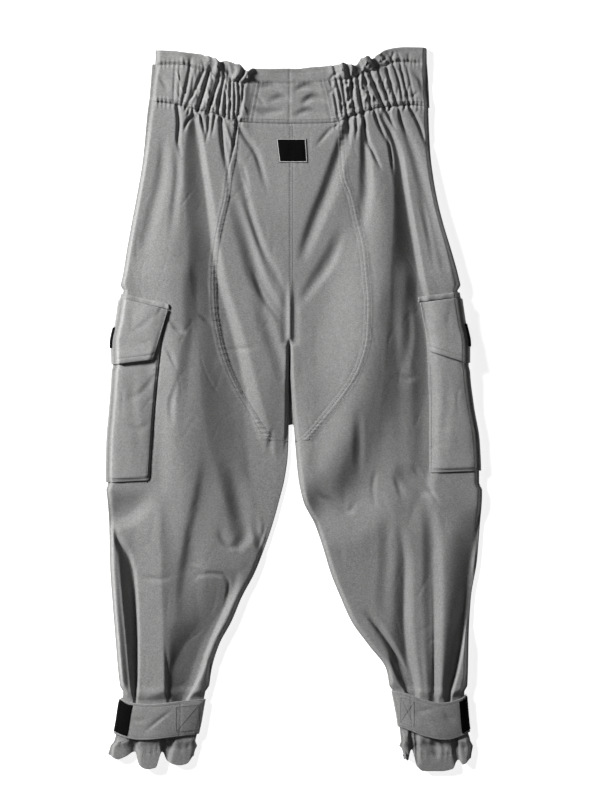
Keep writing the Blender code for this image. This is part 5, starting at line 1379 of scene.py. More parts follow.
@dataclass
class Leg:
    """Back and front panels of one leg, with its hem stitches."""

    side: Side
    room: Workroom
    columns: int = 92
    row_step: float = 2.3
    fine_step: float = 1.15
    fine_waist: float = 9.0
    fine_crotch: tuple[float, float] = (496.0, 531.0)
    fine_hem: float = 924.0
    hem_row: float = 940.0
    bulge: float = 1.2
    back_flat: tuple[float, float] = (0.30, 0.90)
    back_area: float = 0.157
    front_flat: tuple[float, float] = (0.27, 0.92)
    front_area: float = 0.176

    def rows(self, start: float, end: float) -> Array:
        """Give the drops of the rows, closer together where stitches or a seam's end cross them."""
        drops = [start]
        while drops[-1] < end - 0.4:
            at = drops[-1]
            fine = at < start + self.fine_waist or at > self.fine_hem or self.fine_crotch[0] < at < self.fine_crotch[1]
            drops.append(min(at + (self.fine_step if fine else self.row_step), end))
        return np.array(drops)[:, None]

    def turned(self, grid: Sequence[Array], edge: str, weight: Array, depth: Array, angles: Sequence[float],
               least: float) -> tuple[Array, ...]:
        """Add the turn of an edge to the seam with the other layer.

        Args:
            grid: Across positions, drops and heights, a row for each drop.
            edge: "outer" for the last column or "inner" for the first.
            weight: 1 where the edge turns fully and 0 where it meets a panel.
            depth: How far down the edge turns, or up if less than 0.
            angles: Angle of each of the turn's columns, in degrees.
            least: How far the turn bulges at a weight of 0.

        Returns:
            The grid with the turn's columns added.
        """
        last = edge == "outer"
        out = self.side.value if last else -self.side.value
        across, drop, height = (values[:, -1:] if last else values[:, :1] for values in grid)
        turn = np.radians(angles)[None, :]
        added = (across + out * (least + weight * self.bulge) * np.sin(turn), np.repeat(drop, len(angles), axis=1),
                 height - depth * (1 - np.cos(turn)))
        return tuple(np.concatenate([kept, new] if last else [new[:, ::-1], kept], axis=1)
                     for kept, new in zip(grid, added))

    def turned_down(self, grid: Sequence[Array], edge: str, weight: Array, low: Array) -> tuple[Array, ...]:
        """Turn an edge of the back layer down to the seam, whose height is low."""
        top = grid[2][:, -1:] if edge == "outer" else grid[2][:, :1]
        return self.turned(grid, edge, weight, np.maximum(weight * (top - low), 0.9), (22, 45, 67, 90), 0.04)

    def turned_up(self, grid: Sequence[Array], edge: str, weight: Array) -> tuple[Array, ...]:
        """Turn an edge of the front layer up to the seam."""
        depth = -np.maximum(weight * 0.5 * LAYOUT.stack, 0.6)
        return self.turned(grid, edge, weight, depth, (25, 50, 70, 90), 0.03)

    def back(self) -> bpy.types.Object:
        """Build the main back panel, from the side seam to the seat panel and inseam."""
        lay = LAYOUT
        drops = self.rows(lay.waist_row, lay.hem_row)
        inner = np.where(drops < lay.seat_end, lay.seat(self.side, drops) + self.side.value * 0.12,
                         lay.inner(self.side, drops))
        across = spaced(inner, lay.outer(self.side, drops), FINE_EDGE, PLAIN_EDGE, self.columns)
        drop = lay.settle(across, drops)
        seam, seam_in = (lay.lift(ends, drops) + 0.5 * lay.stack for ends in (across[:, -1:], across[:, :1]))
        grid = self.turned_down((across, drop, self.room.relief.at(across, drop)), "outer", np.ones_like(drops), seam)
        across, drop, height = self.turned_down(grid, "inner", ease((drops - lay.seat_end + 2) / 6.0), seam_in)
        shell = Shell(place(across, drop, height), sample(self.room.relief.wear_and_highlight, across, drop))
        shell.lip("bottom", turn=9.0, facing=-self.side.value)
        return self.room.cloth(shell, "leg_back_" + self.side.label, "back_leg_" + self.side.label)

    def front(self) -> bpy.types.Object:
        """Build the front panel: the lower layer, flat on the surface."""
        lay = LAYOUT
        drops = np.unique(np.concatenate([self.rows(lay.waist_row, lay.hem_row)[::2, 0],
                                          [lay.front_crotch - 0.5, lay.front_crotch + 0.5, lay.hem_row]]))[:, None]
        seam = np.interp(drops, [0, lay.crotch, lay.front_crotch], [0, 0, 3.5]) + self.side.value * 0.1
        inner = np.where(drops <= lay.front_crotch, seam, lay.inner(self.side, drops))
        across = spaced(inner, lay.outer(self.side, drops), (0.0, 1.0, 3.0), (3.0, 1.0, 0.0), 52)
        drop = lay.settle(across, drops) - 1.0 * ease((drops - lay.hem_row + 8) / 8.0)
        inside = np.minimum(np.abs(across - across[:, :1]), np.abs(across - across[:, -1:]))
        soft = 0.35 * (np.sin(across / 17 + drop / 41) + np.sin(across / 9 - drop / 63 + 1.3)) + 0.5
        height = lay.lift(across, drop) + np.clip(soft, 0.0, 1.1) * ease(inside / 12.0)
        under = np.where(drops <= lay.front_crotch, 0.0, 1.0)
        grid = self.turned_up((across, drop, height), "outer", np.ones_like(drops))
        across, drop, height = self.turned_up(grid, "inner", under)
        shell = Shell(place(across, drop, height), np.zeros_like(across))
        shell.lip("bottom", turn=9.0, facing=self.side.value)
        return self.room.cloth(shell, "leg_front_" + self.side.label, "front_leg_" + self.side.label)

    def hem_stitches(self) -> bpy.types.Object:
        """Sew the hem's line of stitches."""
        ends = (float(LAYOUT.inner(self.side, self.hem_row)) + self.side.value * 2,
                float(LAYOUT.outer(self.side, self.hem_row)) - self.side.value * 2)
        across = np.linspace(*ends, 220)
        hem = read(HEM_LEFT if self.side is Side.LEFT else HEM_RIGHT, across)
        path = self.room.on_cloth(across, hem - self.room.relief.hem_height)
        return self.room.stitches("hem_stitches_" + self.side.label, [path])

    def build(self) -> None:
        """Build the leg's pieces."""
        back, front, hem = self.back(), self.front(), self.hem_stitches()


@dataclass
class Seat:
    """The two curved seat panels, with the stitches of their seams and of the centre seam."""

    room: Workroom
    columns: int = 34
    flat: tuple[float, float] = (0.11, 0.46)
    area: float = 0.036

    def panel(self, side: Side) -> bpy.types.Object:
        """Build the panel between the centre seam or inseam and the seat seam."""
        lay = LAYOUT
        leg = Leg(side, self.room)
        drops = leg.rows(lay.waist_row, lay.seat_end - 1.2)
        centre = np.where(drops < lay.crotch, side.value * 0.12, lay.inner(side, drops))
        centre = np.where(np.abs(centre) < 0.12, side.value * 0.12, centre)
        seam = lay.seat(side, drops) - side.value * 0.12
        fine = FINE_EDGE[:8]
        across = spaced(centre, seam, fine, tuple(reversed(fine)), self.columns)
        drop = lay.settle(across, drops)
        low = np.full_like(drops, 0.5 * lay.stack)
        grid = leg.turned_down((across, drop, self.room.relief.at(across, drop)), "outer", 0 * drops, low)
        across, drop, height = leg.turned_down(grid, "inner", ease((drops - lay.crotch) / 8.0), low)
        shell = Shell(place(across, drop, height), sample(self.room.relief.wear_and_highlight, across, drop))
        return self.room.cloth(shell, "seat_back_" + side.label, "seat_panel_" + side.label)

    def stitches(self, side: Side) -> bpy.types.Object:
        """Sew the two lines of one seat seam, and one of the centre seam's."""
        drops = np.linspace(LAYOUT.waist_row + 12, LAYOUT.seat_end - 6, 560)
        seam = LAYOUT.seat(side, drops)
        lean = np.gradient(seam, drops)
        paths = []
        for out in self.room.relief.seat_insets:
            move = side.value * out / np.sqrt(1 + lean ** 2)
            paths.append(self.room.on_cloth(seam + move, drops - move * lean))
        centre = np.linspace(103, LAYOUT.crotch - 6, 400)
        beside = 0.0 if side is Side.LEFT else self.room.relief.centre_gap
        paths.append(self.room.on_cloth(np.full(400, beside), centre))
        return self.room.stitches("seat_stitches_" + side.label, paths)

    def build(self) -> None:
        """Build both panels and their stitches."""
        for side in Side:
            made, sewn = self.panel(side), self.stitches(side)


@dataclass
class Waist:
    """The gathered waistband with its plain block, and the heading frill above it."""

    room: Workroom
    band_rows: int = 34
    frill_rows: int = 22
    column: float = 1.15
    frill_end: float = 60.0
    lengths: tuple[tuple[str, float, float, float, float], ...] = (
        ("waistband_elastic_left", -185.0, -189.0, BLOCK_LEFT[0] - 0.1, BLOCK_LEFT[1] - 0.1),
        ("waistband_block", BLOCK_LEFT[0] + 0.1, BLOCK_LEFT[1] + 0.1, BLOCK_RIGHT[0] - 0.1, BLOCK_RIGHT[1] - 0.1),
        ("waistband_elastic_right", BLOCK_RIGHT[0] + 0.1, BLOCK_RIGHT[1] + 0.1, 184.0, 187.0))
    flats: tuple[tuple[float, float], ...] = ((0.20, 0.056), (0.114, 0.062), (0.20, 0.058))

    def band(self, name: str, line_start: float, seam_start: float, line_end: float,
             seam_end: float) -> bpy.types.Object:
        """Build one length of the band.

        Args:
            name: The solid that it stands for.
            line_start: Across position of its left end at the frill line.
            seam_start: The same at the waist seam.
            line_end: Across position of its right end at the frill line.
            seam_end: The same at the waist seam.

        Returns:
            The new piece.
        """
        count = int(abs(line_end - line_start) / self.column)
        line = np.linspace(line_start, line_end, count)[None, :]
        seam = np.linspace(seam_start, seam_end, count)[None, :]
        share = np.linspace(0, 1, self.band_rows)[:, None]
        across = between((line, seam), share)
        drop = between((read(FRILL_LINE, across), read(WAIST_SEAM, across)), share)
        shell = self.room.follow(across, drop).lip("top", 1.0, 2.0, -1.0).lip("bottom", 1.2, 2.0, -1.0)
        for edge, end in (("first", line_start), ("last", line_end)):
            thickness, turn = (2.6, 3.0) if abs(end) > 150 else (0.9, 1.5)
            shell.lip(edge, thickness, turn, -1.0)
        return self.room.cloth(shell, name.replace("waistband", "band"), name)

    def ruffled(self, across: Array) -> Array:
        """Tell how far the frill is ruffled, from 0 in its smooth lengths to 1."""
        return window(across, (-128.0, 26.0), (-46.0, 8.0)) + window(across, (50.0, 10.0), (132.0, 18.0))

    def frill_map(self) -> Array:
        """Give the frill's own map: rolls and hollows that grow towards its free edge."""
        heights = self.room.relief.heights.copy()
        for crease in FRILL_CREASES:
            self.room.relief.press(heights, crease)
        line = read(FRILL_LINE, ACROSS)
        gathered = self.ruffled(ACROSS)
        lean = ACROSS + 0.25 * (line - DROP)
        wave = 1.0 + 2.6 * np.abs(np.sin(lean / 5.2 + 0.6)) + 1.6 * np.sin(lean / 4.1 + 1.0) + 0.8 * np.sin(lean / 1.9)
        calm = 0.5 * np.sin(ACROSS / 14.0 + DROP / 9.0) + 0.3 * np.sin(ACROSS / 5.0 - DROP / 6.0)
        heights += ease((line - DROP) / 20.0) * between((calm, wave), gathered)
        stitched = self.room.relief.groove(DROP - read(FRILL_TOP, ACROSS) - 5.0, 0.3, 0.9)
        above = DROP[:, 0] < self.frill_end
        heights[above] = np.maximum((heights + stitched)[above], LAYOUT.stack * 0.9)
        return blur(heights, 0.7, 0.8)

    def frill(self) -> bpy.types.Object:
        """Build the ruffled heading above the back waistband."""
        count = int(368 / self.column)
        columns = np.linspace(-181.0, 184.0, count)[None, :]
        share = np.linspace(0, 1, self.frill_rows)[:, None]
        scallop = self.ruffled(columns) * (0.9 * np.sin(columns / 3.1 + 0.6) + 0.6 * np.sin(columns / 1.7))
        top = read(FRILL_TOP, columns) + scallop + 0.25 * np.sin(columns / 6.0)
        drop = between((top, read(FRILL_LINE, columns)), share)
        across = np.broadcast_to(columns, drop.shape)
        height = sample(self.frill_map(), across, drop)
        shell = Shell(place(across, drop, height), sample(self.room.relief.wear_and_highlight, across, drop))
        shell.lip("top", 2.2, 10.0, -1.0).lip("bottom", 1.0, 2.0, -1.0).lips(2.6, 3.0, -1.0, ("first", "last"))
        return self.room.cloth(shell, "frill_over_back", "frill_back")

    def under(self, name: str, low: Callable[[Array], Array], high: Callable[[Array], Array],
              start: tuple[float, float], end: tuple[float, float]) -> bpy.types.Object:
        """Build a plain front piece of the waist, flat under the back ones.

        Args:
            name: The solid that it stands for.
            low: Gives the drop of its upper edge.
            high: Gives the drop of its lower edge.
            start: Across positions of its left end, at the upper and the lower edge.
            end: Across positions of its right end, at the upper and the lower edge.

        Returns:
            The new piece.
        """
        share = np.linspace(0, 1, 12)[:, None]
        first, last = between(start, share), between(end, share)
        across = between((first, last), np.linspace(0, 1, 150)[None, :])
        drop = between((low(across), high(across)), share)
        inside = np.minimum(across - first, last - across)
        height = 0.45 * (1 + np.sin(across / 5.3 + 0.4 * np.sin(drop / 7.0))) * ease(inside / 15.0)
        shell = Shell(place(across, drop, height), np.zeros_like(across))
        shell.lips(1.0, 3.0, 1.0, ("top", "bottom", "first", "last"))
        return self.room.cloth(shell, name + "_cloth", name)

    def stitches(self) -> bpy.types.Object:
        """Sew the frill line, the waist seam and the block's ends."""
        across = np.linspace(-180, 182, 700)
        paths = [self.room.on_cloth(across, read(FRILL_LINE, across) + 0.4),
                 self.room.on_cloth(across, read(WAIST_SEAM, across) - 5.0)]
        for ends, inward in ((BLOCK_LEFT, 1), (BLOCK_RIGHT, -1)):
            for inset in self.room.relief.block_insets:
                share = np.linspace(0.04, 0.96, 60)
                x = between(ends, share) + inward * inset
                paths.append(self.room.on_cloth(x, between((read(FRILL_LINE, x), read(WAIST_SEAM, x)), share)))
        return self.room.stitches("waist_stitches", paths)

    def build(self) -> None:
        """Build the band, the frill and what lies under them."""
        sewn = self.stitches()
        for (name, *ends), flat in zip(self.lengths, self.flats):
            made = self.band(name, *ends)
            "gathered" if "elastic" in name else "laid"
        frill = self.frill()
        band = self.under("waistband_front", lambda x: read(FRILL_LINE, x), lambda x: read(WAIST_SEAM, x),
                          (-184.5, -188.0), (183.5, 186.0))
        heading = self.under("frill_front", lambda x: read(FRILL_TOP, x) + 0.8, lambda x: read(FRILL_LINE, x),
                             (-180.5, -182.0), (183.5, 183.5))


@dataclass
class Wrap:
    """Sections of a piece that lies on a leg and turns round its side."""

    side: Side
    turn_steps: int = 9

    def section(self, across: Array, height: Array, edge: Array, bottom: Array, radius: float, centre: float,
                angle: float = 180.0, under: int = 14) -> tuple[Array, Array]:
        """Give a piece's section: over the leg, round its side and back under it.

        Args:
            across: Across positions over the leg, a row for each drop.
            height: Heights of the same shape.
            edge: Across position of the leg's side in each row.
            bottom: Height of the piece's inner face under the leg.
            radius: Outer radius of the turn.
            centre: Height of the turn's middle above the bottom.
            angle: How far the piece turns, in degrees.
            under: Number of points under the leg, if it turns fully.

        Returns:
            Across positions and heights of the whole section.
        """
        steps = max(3, int(self.turn_steps * angle / 180.0))
        bottom = np.broadcast_to(bottom, (len(across), 1))
        edge = np.broadcast_to(edge, (len(across), 1))
        turn = np.radians(np.linspace(0, angle, steps + 1))[None, 1:]
        parts_across = [across, edge + self.side.value * radius * np.sin(turn)]
        parts_height = [height, bottom + centre + radius * np.cos(turn)]
        if angle >= 180.0:
            share = np.linspace(0, 1, under + 1)[None, 1:]
            parts_across.append(between((edge, across[:, :1]), share))
            parts_height.append(np.broadcast_to(bottom + centre - radius, (len(across), under)))
        return np.concatenate(parts_across, axis=1), np.concatenate(parts_height, axis=1)

    def drops(self, drop: Array, count: int) -> Array:
        """Carry the rows' drops round the turn and back under."""
        extra = count - drop.shape[1]
        share = np.linspace(0, 1, extra + 1)[None, 1:]
        return np.concatenate([drop, between((drop[:, -1:], drop[:, :1]), share ** 2)], axis=1)


@dataclass
class CargoPocket:
    """The pocket bag, its flap, the band above it and the tab on it."""

    pocket: Pocket
    room: Workroom
    bag_fullness: float = 0.8
    flap_fullness: float = 0.5
    tilt: float = 2.0
    crease_depth: float = 0.6
    thin: float = 0.7
    curl: float = 2.4
    bag_insets: tuple[float, float] = (2.4, 2.6)
    flap_insets: tuple[float, float] = (2.2, 7.0)
    bag_top: float = 343.0
    bag_corner: float = 566.0
    band_height: float = 6.5
    tab_thickness: float = 1.2
    wear_and_highlight: float = 0.24
    bag_map: Array = field(init=False)
    flap_map: Array = field(init=False)

    def surfaces(self) -> None:
        """Work out the maps of the bag's and the flap's upper surfaces."""
        side = self.pocket.side
        edge, inner = LAYOUT.outer(side, DROP), read(self.pocket.bag_edge, DROP)
        share = np.clip((ACROSS - inner) / (edge - inner), 0.0, 1.0)
        near = ease(((edge - ACROSS) * side.value - 0.5) / 5.0)
        at_side = LAYOUT.lift(ACROSS, DROP) + LAYOUT.stack + LAYOUT.clearance + LAYOUT.cloth
        rng = np.random.default_rng(40 + side.value)
        self.bag_map = self.bag_surface((ACROSS - inner) * side.value, share, near, at_side, rng)
        self.flap_map = self.flap_surface(share, near, at_side + LAYOUT.second_lift, rng)

    def bag_surface(self, inside: Array, share: Array, near: Array, at_side: Array,
                    rng: np.random.Generator) -> Array:
        """Work out the bag's upper surface.

        Args:
            inside: Distance from the bag's inner edge.
            share: Share of the way across the bag.
            near: 0 at the leg's side, where the piece turns, and 1 away from it.
            at_side: Height of the piece at the leg's side.
            rng: Source of its rumples.

        Returns:
            The map.
        """
        lay, relief = LAYOUT, self.room.relief
        cloth = relief.heights
        smooth = between((cloth, np.maximum(blur(cloth, 4.0, 6.0) + self.thin, cloth)), near)
        below = between(self.pocket.bag_bottom, share) - DROP
        held = (0.5 * ease(inside / 2.6) + 0.5 * ease(inside / 26.0)) * (0.35 + 0.65 * ease(below / 6.0))
        lean = 1 - share if self.pocket.side is Side.LEFT else share
        full = self.bag_fullness * np.sin(np.pi * share) ** 0.8 + self.tilt * lean
        bag = between((at_side, smooth + self.thin + held * (lay.clearance + lay.cloth - self.thin + full)), near)
        self.crease(bag, BAG_CREASES)
        for size, scale in ((9.0, 0.2), (3.5, 0.07)):
            bag += scale * near * noise(rng, size, 1.3 * size)
        seam = inside - self.bag_insets[0]
        bag += near * (relief.groove(seam, 0.35) + relief.groove(below - self.bag_insets[1], 0.35))
        return bag + 0.16 * near * relief.pucker(seam, DROP, 3.5, 7.0, 0.3)

    def flap_surface(self, share: Array, near: Array, at_side: Array, rng: np.random.Generator) -> Array:
        """Work out the flap's upper surface over the bag's, with the same arguments."""
        lay, pocket, relief = LAYOUT, self.pocket, self.room.relief
        top, base = between(pocket.flap_top, share), between(pocket.flap_bottom, share)
        free = base - DROP
        edge = between(pocket.flap_edge, np.clip((DROP - top) / (base - top), 0.0, 1.0))
        inside = (ACROSS - edge) * pocket.side.value
        under = np.maximum(blur(self.bag_map, 3.0, 4.0) + 0.6, self.bag_map)
        under = np.maximum(under, np.roll(under, 5 * pocket.side.value, axis=1))
        flap = under + lay.second_gap + lay.cloth + self.flap_fullness * np.sin(np.pi * share)
        flap += self.curl * ease((26.0 - free) / 22.0) * ease((inside + 6) / 14.0)
        flap = between((at_side, flap), near)
        self.crease(flap, FLAP_CREASES)
        flap += 0.16 * near * noise(rng, 7.0, 9.0)
        seam, hem = self.flap_insets
        flap += near * (relief.groove(inside - seam, 0.4) + relief.groove(free - hem, 0.4))
        return flap - near * (0.6 * (1 - ease(inside / 3.0)) + 0.5 * (1 - ease(free / 3.0)))

    def crease(self, heights: Array, creases: Sequence[Crease]) -> None:
        """Press the creases of this side into a map, in place."""
        for profile, points in creases:
            mirrored = tuple((self.pocket.side.value * across, *rest) for across, *rest in points)
            self.room.relief.press(heights, Crease(profile, mirrored), self.crease_depth)

    def bag(self) -> bpy.types.Object:
        """Build the patch pocket, folded round the side of the leg."""
        lay, pocket = LAYOUT, self.pocket
        top, low = self.bag_top, max(pocket.bag_bottom)
        down = np.concatenate([np.arange(top, self.bag_corner, 2.2), np.linspace(self.bag_corner, low, 14)])[:, None]
        part = (down - top) / (low - top)
        slant = (pocket.flap_top[0] - pocket.flap_top[1]) * np.clip(1 - (down - top) / 60.0, 0, 1)
        outer_drop = between((top, pocket.bag_bottom[1]), part)
        inner_drop = between((top, pocket.bag_bottom[0]), part) + slant
        inner = read(pocket.bag_edge, inner_drop)
        edge = lay.outer(pocket.side, outer_drop)
        across = spaced(inner, edge, (0.0, 0.5, 1.1, 1.8, 2.4, 3.0, 3.8, 5.0, 6.5), SIDE_EDGE, 30)
        drop = between((inner_drop, outer_drop), (across - inner) / (edge - inner))
        drop -= 1.5 * np.clip(1 - np.abs(across - inner) / 3.0, 0, 1) ** 2 * ease((part - 0.97) / 0.03)
        bottom = lay.cloth + lay.second_lift * lay.wraps(outer_drop)[1]
        shell = self.wrapped(across, drop, self.bag_map, edge, bottom, lay.wrap_inner)
        shell.lip("bottom", 1.4, 8.0, self.facing).lip("top", 1.2, 4.0, self.facing)
        shell.lip("first", 1.4, 5.0, self.facing).lip("last", 1.2, 4.0, self.facing)
        return self.room.cloth(shell, "pocket_bag_" + pocket.side.label, "cargo_pocket_" + pocket.side.label)

    @property
    def facing(self) -> float:
        """Factor on the direction of this side's shells."""
        return -self.pocket.side.value

    def wrapped(self, across: Array, drop: Array, heights: Array, edge: Array, bottom: Array, centre: float) -> Shell:
        """Give the shell of a piece that follows a map and turns round the side.

        Args:
            across: Across positions over the leg, a row for each drop.
            drop: Drops of the same shape.
            heights: The map that it follows.
            edge: Across position of the leg's side in each row.
            bottom: Height of its inner face under the leg.
            centre: Inner radius of its turn.

        Returns:
            The shell, with wear and painted highlight on its ridges.
        """
        wrap = Wrap(self.pocket.side)
        path, rise = wrap.section(across, sample(heights, across, drop), edge, bottom, centre + LAYOUT.cloth, centre)
        fall = wrap.drops(drop, path.shape[1])
        return Shell(place(path, fall, rise), self.ridges(heights, path, fall))

    def ridges(self, heights: Array, across: Array, drop: Array) -> Array:
        """Give the piece's even lightening plus wear and painted highlight on the ridges of a map."""
        return np.clip(self.wear_and_highlight + self.room.relief.ridge_wear_and_highlight * sample(ridge(heights), across, drop), 0.0, 1.0)

    def flap_grid(self, shares: Array) -> tuple[Array, Array, Array]:
        """Give across positions and drops of the flap's rows, and the side's position."""
        pocket = self.pocket
        inner_drop, outer_drop = (between(ends, shares) for ends in zip(pocket.flap_top, pocket.flap_bottom))
        inner = between(pocket.flap_edge, shares)
        edge = LAYOUT.outer(pocket.side, outer_drop)
        across = spaced(inner, edge, (0.0, 0.6, 1.2, 1.8, 2.4, 3.2, 4.4, 6.0), SIDE_EDGE, 32)
        return across, between((inner_drop, outer_drop), (across - inner) / (edge - inner)), edge

    def flap(self) -> bpy.types.Object:
        """Build the flap over the pocket."""
        lay, label = LAYOUT, self.pocket.side.label
        shares = np.concatenate([np.linspace(0, 0.8, 34), np.linspace(0.8, 1.0, 16)[1:]])[:, None]
        across, drop, edge = self.flap_grid(shares)
        shell = self.wrapped(across, drop, self.flap_map, edge, lay.cloth, lay.second_inner)
        shell.lip("bottom", 1.5, 8.0, self.facing).lip("top", 1.2, 3.0, self.facing)
        shell.lip("first", 1.6, 5.0, self.facing).lip("last", 1.2, 4.0, self.facing)
        return self.room.cloth(shell, "flap_" + label, "pocket_flap_" + label)

    def band(self) -> bpy.types.Object:
        """Build the stitched strip along the top of the flap."""
        lay, pocket = LAYOUT, self.pocket
        inner_across, inner_drop, outer_drop = pocket.band
        shares = np.linspace(0, 1, 13)[:, None]
        below = self.band_height * shares
        edge = lay.outer(pocket.side, outer_drop + below)
        across = spaced(np.full_like(edge, inner_across), edge, (0.0, 0.6, 1.3, 2.2, 3.6), SIDE_EDGE, 30)
        drop = below + between((inner_drop, outer_drop), (across - inner_across) / (edge - inner_across))
        near = ease(((edge - across) * pocket.side.value - 1.0) / 9.0)
        ground = self.room.relief.at(across, drop)
        smooth = np.max([self.room.relief.at(across + k, drop) for k in (-3, 0, 3)], axis=0)
        round_off = 0.9 * np.sin(np.pi * np.clip(shares, 0.02, 0.98)) ** 0.5
        crown = lay.clearance + lay.cloth - 0.6 + round_off + 0.25 * np.sin(across / 2.9)
        at_side = lay.clearance + lay.cloth
        height = between((ground, smooth), near) + between((at_side, crown), near)
        start = lay.wrap_outer + lay.second_lift - lay.wrap_inner
        wrap = Wrap(pocket.side)
        path, rise = wrap.section(across, height, edge, start, lay.wrap_outer, lay.wrap_inner)
        shell = Shell(place(path, wrap.drops(drop, path.shape[1]), rise), np.full(path.shape, 0.25))
        shell.lips(1.5, 2.0, self.facing)
        return self.room.cloth(shell, "flap_strip_" + pocket.side.label, "flap_band_" + pocket.side.label)

    def tab(self) -> bpy.types.Object:
        """Build the dark fastening tab at the side of the flap."""
        lay, pocket = LAYOUT, self.pocket
        drop = np.linspace(*pocket.tab, 12)[:, None]
        edge = lay.outer(pocket.side, drop)
        radius = lay.second_inner + lay.cloth + self.tab_thickness
        turn = np.radians(np.linspace(38.0, 140.0, 11))[None, :]
        path = edge + pocket.side.value * radius * np.sin(turn)
        rise = lay.cloth + lay.second_inner + radius * np.cos(turn)
        shell = Shell(place(path, drop, rise), np.zeros(path.shape)).lips(0.9, 2.0, self.facing)
        return self.room.dark(shell, "tab_" + pocket.side.label, "flap_tab_" + pocket.side.label)

    def stitches(self) -> bpy.types.Object:
        """Sew the edges of the bag, the flap and the band."""
        pocket, s = self.pocket, self.pocket.side.value
        down = np.linspace(max(pocket.flap_bottom) + 3, pocket.bag_bottom[0] - 5, 120)
        paths = [on_map(self.bag_map, read(pocket.bag_edge, down) + s * self.bag_insets[0], down)]
        edge = float(LAYOUT.outer(pocket.side, pocket.bag_bottom[1]))
        across = np.linspace(read(pocket.bag_edge, pocket.bag_bottom[0]) + s * 5, edge, 60)
        paths.append(on_map(self.bag_map, across, np.full(60, min(pocket.bag_bottom) - self.bag_insets[1])))
        share = np.linspace(0.08, 0.9, 60)
        flap_down = between((pocket.flap_top[0], pocket.flap_bottom[0]), share)
        paths.append(on_map(self.flap_map, between(pocket.flap_edge, share) + s * self.flap_insets[0], flap_down))
        outer = float(LAYOUT.outer(pocket.side, pocket.flap_bottom[1]))
        part = np.linspace(0.05, 1, 60)
        across = between((pocket.flap_edge[1], outer), part)
        paths.append(on_map(self.flap_map, across, between(pocket.flap_bottom, part) - self.flap_insets[1]))
        return self.room.stitches("pocket_stitches_" + pocket.side.label, paths)

    def build(self) -> None:
        """Build the pocket's pieces."""
        self.surfaces()
        bag, flap, band, tab, sewn = self.bag(), self.flap(), self.band(), self.tab(), self.stitches()


